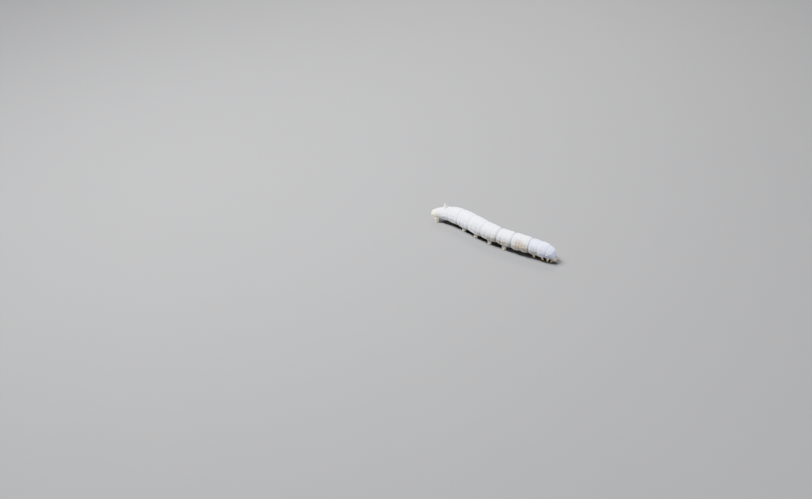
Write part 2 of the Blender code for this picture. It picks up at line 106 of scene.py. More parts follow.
HEADINGS = (  # share of the length, degrees to the left
    (0, 34), (0.1, 15.5), (0.2, -1.5), (0.32, -11.5), (0.45, -9.5), (0.58, -1), (0.7, 3.5), (0.85, 4), (1, 0),
)
HEIGHTS_IN_MM = (  # share of the length, height of the centreline
    (0, 3.25), (0.05, 4.2), (0.12, 4.75), (0.2, 5.1), (0.3, 5.3), (0.5, 5.3),
    (0.8, 5.15), (0.9, 5.1), (0.95, 4.75), (0.975, 4.15), (1, 2.95),
)
TAIL_TIP = (-36.2 * MM, -1.94 * MM)
BELLY_SHARE = 0.88
BELLY_SQUARENESS = 0.82
FLANK_LOBE = 0.055
FLANK_LOBE_ANGLE = math.radians(-28)
FLANK_LOBE_SPREAD = math.radians(24)
print(f"body {BODY_LENGTH / MM:.1f} mm in {len(SEGMENTS)} segments")


# %% The centreline
def smooth_through(stations, at):
    """A smooth curve through (place, value) stations, read off at the places `at`."""
    places = np.array([station[0] for station in stations], float)
    values = np.array([station[1] for station in stations], float)
    slopes = np.gradient(values, places)
    at = np.clip(np.asarray(at, float), places[0], places[-1])
    left = np.clip(np.searchsorted(places, at, side="right") - 1, 0, len(places) - 2)
    width = places[left + 1] - places[left]
    t = (at - places[left]) / width
    start = (2 * t**3 - 3 * t**2 + 1) * values[left] + (t**3 - 2 * t**2 + t) * width * slopes[left]
    end = (3 * t**2 - 2 * t**3) * values[left + 1] + (t**3 - t**2) * width * slopes[left + 1]
    return start + end


ALONG = np.linspace(0.0, BODY_LENGTH, 600)
height = smooth_through(HEIGHTS_IN_MM, ALONG / BODY_LENGTH) * MM
HEADING = np.radians(smooth_through(HEADINGS, ALONG / BODY_LENGTH))
rise = np.gradient(height, ALONG)
PITCH = np.arcsin(rise)
flat_step = np.sqrt(1 - rise**2) * (ALONG[1] - ALONG[0])
turn = (HEADING[:-1] + HEADING[1:]) / 2
LINE = np.stack([
    TAIL_TIP[0] + np.concatenate([[0.0], np.cumsum(flat_step[:-1] * np.cos(turn))]),
    TAIL_TIP[1] + np.concatenate([[0.0], np.cumsum(flat_step[:-1] * np.sin(turn))]),
    height,
], axis=1)
print("centreline from", (LINE[0] / MM).round(1), "to", (LINE[-1] / MM).round(1))


# %% Frames along the body
def frames_at(place):
    """Centre, forward, left and up at places along the body. Past the ends it runs on straight."""
    place = np.asarray(place, float)
    heading = np.interp(place, ALONG, HEADING)
    pitch = np.interp(place, ALONG, PITCH)
    centre = np.stack([np.interp(place, ALONG, LINE[:, axis]) for axis in range(3)], axis=-1)
    flat = np.cos(pitch)
    forward = np.stack([np.cos(heading) * flat, np.sin(heading) * flat, np.sin(pitch)], axis=-1)
    left = np.stack([-np.sin(heading), np.cos(heading), np.zeros_like(heading)], axis=-1)
    past = place - np.clip(place, 0.0, BODY_LENGTH)
    return centre + forward * past[..., None], forward, left, np.cross(forward, left)


def matrix_at(place):
    """The same frame as one matrix: X forwards, Y to the animal's left, Z up the body."""
    centre, forward, left, up = frames_at(place)
    rows = np.eye(4)
    rows[:3, 0], rows[:3, 1], rows[:3, 2], rows[:3, 3] = forward, left, up, centre
    return Matrix(rows.tolist())


# %% The section
def bell(distance, width):
    """1 at no distance, and less on both sides."""
    return np.exp(-((distance / width) ** 2))


def half_width(place):
    """Half width of the body before its folds."""
    stations = [(0.0, TAIL_RADIUS), *zip(MIDDLES, HALF_WIDTHS), (BODY_LENGTH, NECK_RADIUS)]
    rounding = np.clip(place / TAIL_ROUNDING, 0.0, 1.0)
    return smooth_through(stations, place) * np.sqrt(np.maximum(0.02, 1 - (1 - rounding) ** 2))


def segment_of(place):
    """Number of the segment that a place is in, and how far along it, from 0 to 1."""
    index = np.clip(np.searchsorted(ENDS, place) - 1, 0, len(SEGMENTS) - 1)
    return index, (place - ENDS[index]) / LENGTHS[index]


def place_in(segment, share):
    """Place on the body at a share of a segment's length."""
    number = NAMES.index(segment)
    return ENDS[number] + share * LENGTHS[number]


def smooth_width(place, angle):
    """Half width with the soft lobe low on each flank, but without grooves."""
    swell = np.clip(np.sin(np.pi * segment_of(place)[1]), 0.0, None)
    lobe = FLANK_LOBE * swell * bell(np.arcsin(np.sin(angle)) - FLANK_LOBE_ANGLE, FLANK_LOBE_SPREAD)
    return half_width(place) * (1 + lobe)


def section_height(angle):
    """How high the section stands at an angle, for a half width of 1: round above and flatter below."""
    up = np.sin(angle)
    return np.where(up < 0, -BELLY_SHARE * np.abs(up) ** BELLY_SQUARENESS, up)


def body_points(place, angle, outset=0.0):
    """Points of the smooth body at places along it and angles up from the animal's left."""
    centre, _, left, up = frames_at(place)
    width = (smooth_width(place, angle) + outset)[..., None]
    return centre + left * width * np.cos(angle)[..., None] + up * width * section_height(angle)[..., None]


def spot_on_body(place, angle):
    return body_points(np.array([place]), np.array([angle]))[0]


print("widest:", round(float(half_width(ALONG).max()) * 2 / MM, 2), "mm")

# %% [markdown]
# ## Where a point is on the animal
#
# Folds and colours are easiest to place as a naturalist would say it: so far along the body, and so high up
# the side. This step turns any point in space into that: the nearest place on the centreline, the angle up
# from the animal's left, and how far out the point stands, where 1 is on the body's surface.

# %% From a point to its place
FORWARD_LINE = frames_at(ALONG)[1]
BELLY_ANGLES = np.linspace(0.0, math.pi / 2 - 0.001, 500)
BELLY_SLOPES = -section_height(-BELLY_ANGLES) / np.cos(BELLY_ANGLES)


def locate(points):
    """Place, angle and reach of each point; the reach is 1 on the smooth body."""
    best = np.concatenate([
        ((part[:, None, :] - LINE[None, :, :]) ** 2).sum(axis=2).argmin(axis=1)
        for part in np.array_split(points, max(1, len(points) // 4000))
    ])
    place = ALONG[best] + ((points - LINE[best]) * FORWARD_LINE[best]).sum(axis=1)
    centre, _, left, up = frames_at(place)
    offset = points - centre
    y, z = (offset * left).sum(axis=1), (offset * up).sum(axis=1)
    low = np.interp(-z / np.maximum(np.abs(y), 1e-9), BELLY_SLOPES, BELLY_ANGLES)
    angle = np.where(z >= 0, np.arctan2(z, y), np.where(y >= 0, -low, low - math.pi))
    unit = np.hypot(np.cos(angle), section_height(angle))
    inside = np.clip(place, 0.0, BODY_LENGTH)
    return inside, angle, np.hypot(y, z) / unit / smooth_width(inside, angle)


check = locate(body_points(np.array([20 * MM, 50 * MM]), np.array([0.7, -2.0])))
print("located at", in_mm(check[0]), "mm,", np.degrees(check[1]).round(1), "degrees")
print("reach there:", check[2].round(3))


# %% Small helpers for meshes
def object_from(name, vertices, faces):
    mesh = bpy.data.meshes.new(name)
    mesh.from_pydata(np.asarray(vertices).tolist(), [], faces)
    mesh.update()
    made = bpy.data.objects.new(name, mesh)
    bpy.context.scene.collection.objects.link(made)
    return made


def tube_faces(rings, around, first=0):
    """Faces of a closed tube whose ring points come first, followed by a middle point for each end."""
    faces = []
    for ring in range(rings - 1):
        for i in range(around):
            j = (i + 1) % around
            a, b = first + ring * around, first + (ring + 1) * around
            faces.append((a + i, a + j, b + j, b + i))
    last = first + (rings - 1) * around
    start, end = first + rings * around, first + rings * around + 1
    for i in range(around):
        j = (i + 1) % around
        faces.append((start, first + j, first + i))
        faces.append((end, last + i, last + j))
    return faces


def tube(rings):
    """A closed tube as its points (rings, then a middle point for each end), its rings, its points a ring."""
    points = np.concatenate([rings.reshape(-1, 3), rings[:1].mean(axis=1), rings[-1:].mean(axis=1)])
    return points, len(rings), rings.shape[1]


def joined(name, tubes):
    """One object from closed tubes."""
    points, faces, count = [], [], 0
    for made, rings, around in tubes:
        points.append(made)
        faces += tube_faces(rings, around, count)
        count += len(made)
    return object_from(name, np.concatenate(points), faces)


def per_point(values, around):
    """A number for each ring of a tube, given to all of its points and to the nearer end point."""
    return np.concatenate([np.repeat(values, around), [values[0], values[-1]]])


def rings_round(path, radii, ahead, around):
    """Rings square to a path, starting from the direction `ahead`. Radii may be one a ring or one a point."""
    path = np.asarray(path, float)
    along = np.gradient(path, axis=0)
    along /= np.linalg.norm(along, axis=1)[:, None]
    across = np.asarray(ahead, float) - (along @ np.asarray(ahead, float))[:, None] * along
    across /= np.linalg.norm(across, axis=1)[:, None]
    other = np.cross(along, across)
    angles = np.linspace(0.0, 2 * math.pi, around, endpoint=False)
    radii = np.asarray(radii, float)
    radii = radii[:, None] if radii.ndim == 1 else radii
    cosine, sine = (radii * np.cos(angles))[..., None], (radii * np.sin(angles))[..., None]
    return path[:, None] + across[:, None] * cosine + other[:, None] * sine


def bent_path(points, steps):
    """A curve of steps + 1 points that the control points pull into shape."""
    t = np.linspace(0.0, 1.0, steps + 1)[:, None]
    layer = [np.broadcast_to(np.asarray(point, float), (steps + 1, 3)) for point in points]
    while len(layer) > 1:
        layer = [a + (b - a) * t for a, b in zip(layer, layer[1:])]
    return layer[0]


def spread(radii, count):
    return smooth_through(list(zip(np.linspace(0, 1, len(radii)), radii)), np.linspace(0, 1, count))


def beside(place, sideways, above, ahead=0.0):
    """A point `sideways` of the centreline and `above` the floor."""
    point = matrix_at(place) @ Vector((ahead, sideways, 0.0))
    return np.array([point.x, point.y, above])


print("a tube of 3 rings of 4 points has", len(tube_faces(3, 4)), "faces")

# %% [markdown]
# ## One skin
#
# In the living animal the fleshy feet and claspers are the same bag of skin as the body, and no seam shows
# where they leave it. Bridging tubes by hand would need careful topology at ten roots. Instead the body and
# the ten feet are laid into one another as closed tubes, and a voxel remesh pours one even surface over them
# all. Its even small faces are also what the folds need later.

# %% Fleshy feet and claspers
SIDES = ((1, "left"), (-1, "right"))
PROLEG_SEGMENTS = ("abdomen_3", "abdomen_4", "abdomen_5", "abdomen_6")
PROLEG_ROOT = (1.75 * MM, 2.9 * MM)
PROLEG_FOOT = 2.35 * MM
PROLEG_RADII = (1.75 * MM, 1.55 * MM, 1.25 * MM, 0.94 * MM, 1.02 * MM)
ANAL_ROOT = (0.95 * MM, 3.4 * MM)
ANAL_FOOT = 1.6 * MM
ANAL_RADII = (0.8 * MM, 1.2 * MM, 1.25 * MM, 1.0 * MM, 1.08 * MM)
ANAL_PLACE = 2.2 * MM
ANAL_REACH = 1.0 * MM
ANKLE_SHARE = 0.45
FOOT_STEPS = 30


def foot_path(place, side, root, foot, reach):
    top = beside(place, side * root[0], root[1])
    ankle = beside(place, side * foot, ANKLE_SHARE * root[1], reach)
    sole = beside(place, side * foot, 0.0, reach)
    return bent_path((top, ankle, sole), FOOT_STEPS)


feet = []  # node, side, place, path, radii
for side, word in SIDES:
    for segment in PROLEG_SEGMENTS:
        place = float(MIDDLES[NAMES.index(segment)])
        path = foot_path(place, side, PROLEG_ROOT, PROLEG_FOOT, 0.0)
        feet.append((f"proleg_{segment[-1]}_{word}", side, place, path, spread(PROLEG_RADII, len(path))))
    path = foot_path(ANAL_PLACE, side, ANAL_ROOT, ANAL_FOOT, ANAL_REACH)
    feet.append((f"anal_proleg_{word}", side, ANAL_PLACE, path, spread(ANAL_RADII, len(path))))
print("feet:", [foot[0] for foot in feet])

# %% Body tube with a rolled front edge
LIP = 0.6 * MM  # length over which the front edge rolls in round the head
LIP_OVERHANG = 0.5 * MM  # how far the rolled edge stands over the back of the head
NECK_ROOT = 1.35 * MM  # half width of the neck inside the head
LIP_RINGS = 10
RING_SPACING = 0.3 * MM
BODY_AROUND, FOOT_AROUND = 150, 48  # points in a ring of the body and of a foot
lip_start = BODY_LENGTH + LIP_OVERHANG - LIP
around = np.linspace(0.0, 2 * math.pi, BODY_AROUND, endpoint=False)
rings = [body_points(*np.meshgrid(np.arange(0.0, lip_start, RING_SPACING), around, indexing="ij"))]
for share in np.linspace(0.0, 1.0, LIP_RINGS + 1)[1:]:
    inward = (NECK_RADIUS - NECK_ROOT) * (1 - math.sqrt(1 - share**2))
    rings.append(body_points(np.full(BODY_AROUND, lip_start + share * LIP), around, -inward)[None])
tubes = [tube(np.concatenate(rings))]
for _, _, place, path, radii in feet:
    tubes.append(tube(rings_round(path, radii, frames_at(place)[1], FOOT_AROUND)))
skin = joined("silkworm_skin", tubes)
print("laid together:", len(skin.data.vertices), "points")

# %% Pour one surface over them
SKIN_VOXEL = 0.166 * MM


def remeshed(item, voxel):
    """Applies a voxel remesh, which leaves one even surface."""
    remesh = item.modifiers.new("pour", "REMESH")
    remesh.mode = "VOXEL"
    remesh.voxel_size = voxel
    graph = bpy.context.evaluated_depsgraph_get()
    mesh = bpy.data.meshes.new_from_object(item.evaluated_get(graph))
    item.modifiers.clear()
    item.data = mesh


def numbers_of(layer, key, width, kind=float):
    """What a mesh layer holds under a key, as one row for each vertex or edge."""
    flat = np.empty(len(layer) * width, kind)
    layer.foreach_get(key, flat)
    return flat.reshape(-1, width)


def vertices_of(item):
    return numbers_of(item.data.vertices, "co", 3)


def normals_of(item):
    return numbers_of(item.data.vertices, "normal", 3)


def edges_of(item):
    return numbers_of(item.data.edges, "vertices", 2, int)


def set_vertices(item, points):
    item.data.vertices.foreach_set("co", points.ravel())
    item.data.update()


remeshed(skin, SKIN_VOXEL)
skin_edges = edges_of(skin)
print("skin:", len(skin.data.vertices), "points,", len(skin.data.polygons) * 2, "triangles")


# %% Soften the roots of the feet
def relaxed(points, edges, weight, rounds):
    """Moves each point towards the mean of its neighbours, by its weight, several times."""
    count = np.bincount(edges.ravel(), minlength=len(points))[:, None]
    weight = np.broadcast_to(weight, len(points))[:, None]
    points = points.copy()
    for _ in range(rounds):
        total = np.stack([
            np.bincount(edges[:, 0], points[edges[:, 1], axis], len(points))
            + np.bincount(edges[:, 1], points[edges[:, 0], axis], len(points))
            for axis in range(3)
        ], axis=1)
        points += weight * (total / count - points)
    return points


def smooth_step(low, high, value):
    """0 up to `low` and 1 from `high` on, or the other way round if `low` is the higher one."""
    t = np.clip((value - low) / (high - low), 0.0, 1.0)
    return t * t * (3 - 2 * t)


points = relaxed(vertices_of(skin), skin_edges, 0.5, 2)
reach = locate(points)[2]
above_sole = (points[:, 2] > 0.6 * MM) * (points[:, 2] < 3.6 * MM)
near_root = bell(reach - 1.06, 0.09) * (reach > 0.97) * above_sole
points = relaxed(points, skin_edges, 0.6 * near_root, 16)
set_vertices(skin, points)
print("roots softened over", int((near_root > 0.2).sum()), "points")

# %% [markdown]
# ## Folds
#
# A silkworm's skin is never a plain barrel. Between two segments it dips in a wide shallow valley with a
# sharp crease at its bottom, each segment has a few smaller folds across its back, long folds run above and
# below the row of breathing holes, and fine wrinkles fill what is left. A bump map alone would leave the
# outline smooth and would be lost in the exported mesh, so all but the finest are real: each point is pushed
# in along its normal by a sum of such valleys, each with a little noise so that none is ruled with a pen.


# %% Noise
def lumps(points, size, seed=0.0):
    """Smooth noise from about -1 to 1 at each point, with lumps about `size` across."""
    shift = Vector((seed * 7.3, seed * 3.1, seed * 5.7))
    return np.array([noise.noise(Vector(point) / size + shift) for point in points.tolist()])


place, angle, reach = locate(points)
share = segment_of(place)[1]
half_here = half_width(place)
back = 0.5 + 0.5 * np.sin(angle)
on_foot = smooth_step(1.03, 1.14, reach) * (points[:, 2] < 4.2 * MM)
on_body = 1 - on_foot
broad = lumps(points, 3.0 * MM, 1)
middling = lumps(points, 1.1 * MM, 2)
fine = lumps(points, 0.5 * MM, 3)
print("noise spread:", broad.std().round(2), middling.std().round(2), fine.std().round(2))

# %% Valleys between the segments
VALLEY_WIDTH = 0.85 * MM
CREASE_WIDTH = 0.22 * MM
CREASE_DEPTH = 0.19 * MM
GROOVE_SHADE = 14.0  # how fast a groove darkens with its depth
push = np.zeros(len(points))
# The second sum is painted shade: how much the skin's colour darkens at the bottom of each groove and fold.
crease = np.zeros(len(points))
for edge, (*_, depth) in zip(ENDS[1:-1], SEGMENTS):
    away = place - edge + 0.14 * MM * middling + 0.1 * MM * broad
    push -= depth * half_here * bell(away, VALLEY_WIDTH) * (0.55 + 0.45 * back)
    push -= CREASE_DEPTH * (0.7 + 2.0 * depth) * bell(away, CREASE_WIDTH) * (0.75 + 0.25 * back)
    crease += np.clip(GROOVE_SHADE * (depth - 0.05), 0.08, 0.95) * bell(away, 0.5 * MM)
print("deepest valley:", round(float(-push.min()) / MM, 2), "mm")

# %% Smaller folds across the back
FOLD_DEPTH = 0.028
FOLD_WIDTH = 0.5 * MM
FOLDS = {"anal_segment": (), "abdomen_9": (0.5,), "mesothorax": (0.52,), "metathorax": (0.36, 0.7)}
USUAL_FOLDS = (0.33, 0.66)
MINOR_FOLDS = {
    "anal_segment": (), "abdomen_9": (),
    "prothorax": (0.16,), "mesothorax": (0.2, 0.8), "metathorax": (0.18, 0.53, 0.86),
}
USUAL_MINOR_FOLDS = (0.17, 0.5, 0.83)
behind_thorax = smooth_step(ENDS[10] + 0.5 * MM, ENDS[10] - 0.5 * MM, place)
ribbed = 0.75 + behind_thorax * (0.25 + 0.9 * bell(back - 0.5, 0.28))  # most half way down the side
strength = np.clip(0.85 + 0.7 * broad, 0.25, 1.35) * (0.6 + 0.4 * back)
strength = strength * smooth_step(0.02, 0.16, back) * ribbed
minor = smooth_step(-0.2, 0.3, middling + 0.5 * broad) * smooth_step(0.1, 0.4, back) * ribbed
# Each fold also adds painted shade along its crease.
for start, length, name in zip(ENDS, LENGTHS, NAMES):
    for fold in FOLDS.get(name, USUAL_FOLDS):
        away = place - start - fold * length + 0.2 * MM * broad + 0.12 * MM * middling
        push -= FOLD_DEPTH * half_here * bell(away, FOLD_WIDTH) * strength
        push -= 0.08 * MM * bell(away, 0.17 * MM) * strength
        crease += 0.17 * bell(away, 0.22 * MM) * strength
    for fold in MINOR_FOLDS.get(name, USUAL_MINOR_FOLDS):
        away = place - start - fold * length + 0.3 * MM * broad + 0.16 * MM * middling
        push -= 0.09 * MM * bell(away, 0.24 * MM) * minor
        crease += 0.09 * bell(away, 0.2 * MM) * minor
print("with folds:", round(float(-push.min()) / MM, 2), "mm")

# %% Long folds low on the flanks
side_angle = np.arcsin(np.clip(np.sin(angle), -1, 1))
within = np.clip(np.sin(math.pi * share), 0.0, None)
LONG_FOLDS = ((19, 0.08, 0.42), (-11, 0.14, 0.36), (-47, 0.19, 0.42))  # degrees up, depth and width in mm
fading = within**0.7 * smooth_step(1.5 * MM, 6 * MM, place) * smooth_step(0.0, 2 * MM, BODY_LENGTH - place)
# Each long fold also adds painted shade along its crease.
for degrees, depth, width in LONG_FOLDS:
    off = (side_angle - math.radians(degrees)) * half_here
    off = off + 0.35 * MM * broad + 0.15 * MM * middling + 0.25 * MM * (within - 0.6)
    push -= depth * MM * bell(off, width * MM) * fading
    push -= 0.3 * depth * MM * bell(off, 0.14 * MM) * fading
    crease += 0.8 * depth * bell(off, 0.25 * MM) * fading
push += 0.06 * MM * within * bell(side_angle - FLANK_LOBE_ANGLE, math.radians(16))
print("with long folds:", round(float(-push.min()) / MM, 2), "mm")

# %% Fine wrinkles
thorax = smooth_step(ENDS[10] - 1 * MM, ENDS[10] + 1 * MM, place)
shield = smooth_step(ENDS[12] + 0.5 * MM, ENDS[12] + 1.3 * MM, place) * smooth_step(0.45, 0.8, back)
wave = np.cos(2 * math.pi * (place + 0.5 * MM * broad + 0.3 * MM * middling) / (0.62 * MM))
patchy = smooth_step(-0.35, 0.4, lumps(points, 1.8 * MM, 4))
push += (0.016 + 0.014 * thorax) * MM * wave * patchy * (1 - 0.8 * shield)
push += 0.03 * MM * middling + 0.016 * MM * fine * (1 - 0.6 * shield)
push += 0.05 * MM * broad
print("wrinkled:", int((np.abs(wave * patchy) > 0.3).sum()), "points")

# %% Plate and clefts of the tail
PLATE_RIM = (3.0, 12.0)  # degrees above level: at the very end, and how much more a quarter turn round
CLASPER_CLEFT = 44.0  # degrees round from the very end
to_tail = np.array(matrix_at(TAIL_ROUNDING).inverted())
ahead, aside, above = (points @ to_tail[:3, :3].T + to_tail[:3, 3]).T
from_middle = np.sqrt(ahead**2 + aside**2 + above**2)
turned = np.degrees(np.arctan2(np.abs(aside), -ahead))
level = np.degrees(np.arcsin(np.clip(above / from_middle, -1, 1)))
off_rim = level - PLATE_RIM[0] - PLATE_RIM[1] * (turned / 90) ** 2
off_rim = np.radians(off_rim) * from_middle + 0.05 * MM * middling
at_tail = smooth_step(2.6 * MM, 1.7 * MM, place) * on_body
under_plate = at_tail * smooth_step(0.05 * MM, 0.3 * MM, -off_rim) * smooth_step(-75, -50, level)
off_clasper = np.radians(turned - CLASPER_CLEFT) * from_middle * np.cos(np.radians(level))
push += 0.05 * MM * at_tail * smooth_step(0, 0.3 * MM, off_rim)
tail_grooves = 0.13 * bell(off_rim, 0.15 * MM) * at_tail
tail_grooves += 0.24 * bell(aside, 0.15 * MM) * (ahead < 0) * under_plate
tail_grooves += 0.16 * bell(off_clasper, 0.15 * MM) * under_plate
push -= MM * tail_grooves
# The tail's grooves get painted shade too.
crease += 1.2 * tail_grooves
print("tail grooves:", int((tail_grooves > 0.05).sum()), "points")

# %% A low mound for the horn
HORN_SHARE = 0.5
HORN_MOUND = 0.16 * MM
horn_at = place_in("abdomen_8", HORN_SHARE)
saddle = spot_on_body(horn_at, math.pi / 2)
horn_near = bell(np.linalg.norm(points - saddle, axis=1), 1.7 * MM)
push += HORN_MOUND * horn_near
print("mound under the horn:", int((horn_near > 0.2).sum()), "points")

# %% Folds of the feet, and their pads
FOOT_FOLDS = ((2.35, 0.08), (1.75, 0.13), (1.2, 0.1), (0.66, 0.14))  # height and depth in mm
foot_push = 0.05 * MM * middling + 0.02 * MM * fine
foot_crease = np.zeros(len(points))
for level, depth in FOOT_FOLDS:
    away = points[:, 2] - level * MM + 0.18 * MM * middling + 0.2 * MM * broad
    foot_push -= depth * MM * bell(away, 0.17 * MM)
    foot_push += 0.4 * depth * MM * bell(away + 0.27 * MM, 0.16 * MM)
    foot_crease += 2.0 * depth * bell(away, 0.15 * MM)
# Painted shade where the feet leave the body and in the folds of the feet.
root_crease = bell(reach - 1.06, 0.05) * (points[:, 2] < 3.4 * MM)
push = push * on_body + foot_push * on_foot
crease = crease * on_body + foot_crease * on_foot + 0.35 * root_crease
sole = smooth_step(0.12 * MM, 0.0, points[:, 2])
push *= 1 - sole
print("feet:", int((on_foot > 0.5).sum()), "points")

# %% Seats of the breathing holes
NO_SPIRACLES = ("anal_segment", "abdomen_9", "mesothorax", "metathorax")
SPIRACLE_ANGLE = math.radians(4)
SPIRACLE_SHARE = 0.46
FIRST_SPIRACLE_SHARE = 0.3
spiracle_seats = []  # name, place, angle
for name in NAMES:
    if name not in NO_SPIRACLES:
        at = place_in(name, FIRST_SPIRACLE_SHARE if name == "prothorax" else SPIRACLE_SHARE)
        spiracle_seats += [(name, at, seat) for seat in (SPIRACLE_ANGLE, math.pi - SPIRACLE_ANGLE)]
seat_shade = np.zeros(len(points))
for _, at, seat in spiracle_seats:
    middle = spot_on_body(at, seat)
    _, forward, _, up = frames_at(at)
    across, upward = (points - middle) @ forward, (points - middle) @ up
    near = (np.linalg.norm(points - middle, axis=1) < 1.6 * MM) * on_body
    oval = np.hypot(across / 0.72, upward)
    calm = near * smooth_step(1.0 * MM, 0.55 * MM, oval)
    push = push * (1 - calm) + calm * np.where(near > 0, -0.02 * MM, 0.0)
    push += near * (0.06 * MM * bell(oval - 0.62 * MM, 0.15 * MM) - 0.10 * MM * bell(oval, 0.36 * MM))
    seat_shade += near * bell(oval, 0.75 * MM)
print("breathing holes:", len(spiracle_seats))

# %% Move the points
normals = normals_of(skin)
points = points + normals * push[:, None]
points[:, 2] = np.maximum(points[:, 2], 0.0)
points = relaxed(points, skin_edges, 0.12, 1)
points[:, 2] = np.where(points[:, 2] < 0.02 * MM, 0.0, points[:, 2])
set_vertices(skin, points)
skin.data.shade_smooth()
print("skin box in mm:", (points.min(axis=0) / MM).round(2), (points.max(axis=0) / MM).round(2))

# %% [markdown]
# ## Colours written on the skin
#
# A white silkworm isn't one white. Its tail and its feet are cream, and its lower edges get a painted warm
# reflection; its thorax gets a painted blue-violet shade, and its underside and fore half painted shade. The
# long heart shows through the back as a blue-grey line, painted shade darkens the creases, and the first two
# abdominal segments carry tan marks low on each side, partly real marks and partly painted shade. Painting an
# image would need an unwrap. Here each of these is a number between 0 and 1 that is stored on every point of
# the mesh, computed from the point's place and angle, and the material turns the numbers into colours.


# %% Store numbers on the points
def store(item, **numbers):
    for name, values in numbers.items():
        layer = item.data.attributes.new(name, "FLOAT", "POINT")
        layer.data.foreach_set("value", np.clip(values, 0.0, 1.0).astype(np.float32))


tail_cream = smooth_step(6.3 * MM, 0.8 * MM, place)
# Painted warm reflection along the lower edges.
low_cream = 0.3 * smooth_step(0.35, 0.05, back)
foot_cream = on_foot * (0.35 + 0.45 * smooth_step(1.6 * MM, 0.2 * MM, points[:, 2]))
# Painted shade: the fore half of the body is darkened, and less of it on the thorax.
fore_half_shade = smooth_step(ENDS[4], ENDS[7], place)  # the fore half, and less of it on the thorax
fore_half_shade = fore_half_shade * (1 - 0.35 * smooth_step(ENDS[10], ENDS[12], place))
# Painted shade on the lower flanks and the underside, stronger on the fore half, and on the feet.
belly = 0.6 * smooth_step(0.7, 0.25, back) + 0.4 * fore_half_shade * smooth_step(0.4, 0.2, back)
belly = np.maximum(belly * on_body + 0.35 * on_foot, fore_half_shade * smooth_step(1.02, 0.42, back) * on_body)
# Painted cool shade: a blue-violet cast on the upper thorax.
cool = smooth_step(ENDS[10] - 0.6 * MM, ENDS[10] + 0.8 * MM, place) * smooth_step(0.1, 0.45, back)
from_top = angle - math.pi / 2
vessel = bell(from_top, math.radians(5)) * smooth_step(4 * MM, 9 * MM, place)
vessel *= smooth_step(0, 9 * MM, ENDS[12] - place)
written = {
    "crease": crease,
    "cream": np.maximum(np.maximum(tail_cream, low_cream), foot_cream) + 0.12 * broad,
    "vessel": vessel * (0.75 + 0.5 * middling),
    "seat": seat_shade,
    "belly": belly + 0.15 * broad,
    "cool": cool * (0.85 + 0.5 * broad),
}
store(skin, **written)
print("written, on average:", {name: round(float(values.mean()), 3) for name, values in written.items()})

# %% Marks, partly painted shade
# The two big low marks on the first two abdominal segments are partly real tan marks and partly painted shade
# on the lower flank.
MARKS = (  # segment, share along, degrees from the top, half length, half height, strength
    ("abdomen_2", 0.85, 74, 3.0, 3.5, 1.15),
    ("abdomen_1", 0.4, 86, 2.6, 3.2, 1.0),
    ("abdomen_5", 0.45, 42, 0.8, 0.7, 0.25),
    ("abdomen_9", 0.6, 76, 1.8, 1.5, 0.3),
    ("mesothorax", 0.55, 40, 0.8, 0.6, 0.2),
)
marks = np.zeros(len(points))
for segment, along_share, degrees, long, high, strength in MARKS:
    for side, _ in SIDES:
        u = (place - place_in(segment, along_share)) / (long * MM)
        v = (from_top - side * math.radians(degrees)) * side * half_here / (high * MM)
        span = np.hypot(u + 0.12 * middling, v + 0.12 * broad)
        cloud = 0.95 * smooth_step(1.25, 0.2, span)
        crescent = 0.3 * bell(span - 0.7, 0.2) * smooth_step(-0.3, 0.5, -v)
        marks += strength * (cloud + crescent) * (0.85 + 0.5 * fine) * on_body
store(skin, marks=marks)
print("marked points:", int((marks > 0.2).sum()))

# %% [markdown]
# ## Finishes from nodes
#
# Every finish here is a small network of nodes: stored numbers and noise pick between a few colours, and
# finer noise bends the light as a bump. Distances are in metres, so a noise scale of 1000 makes lumps about
# a millimetre across. Values that are the same all over are typed into the shader itself, because the
# exported model keeps those.


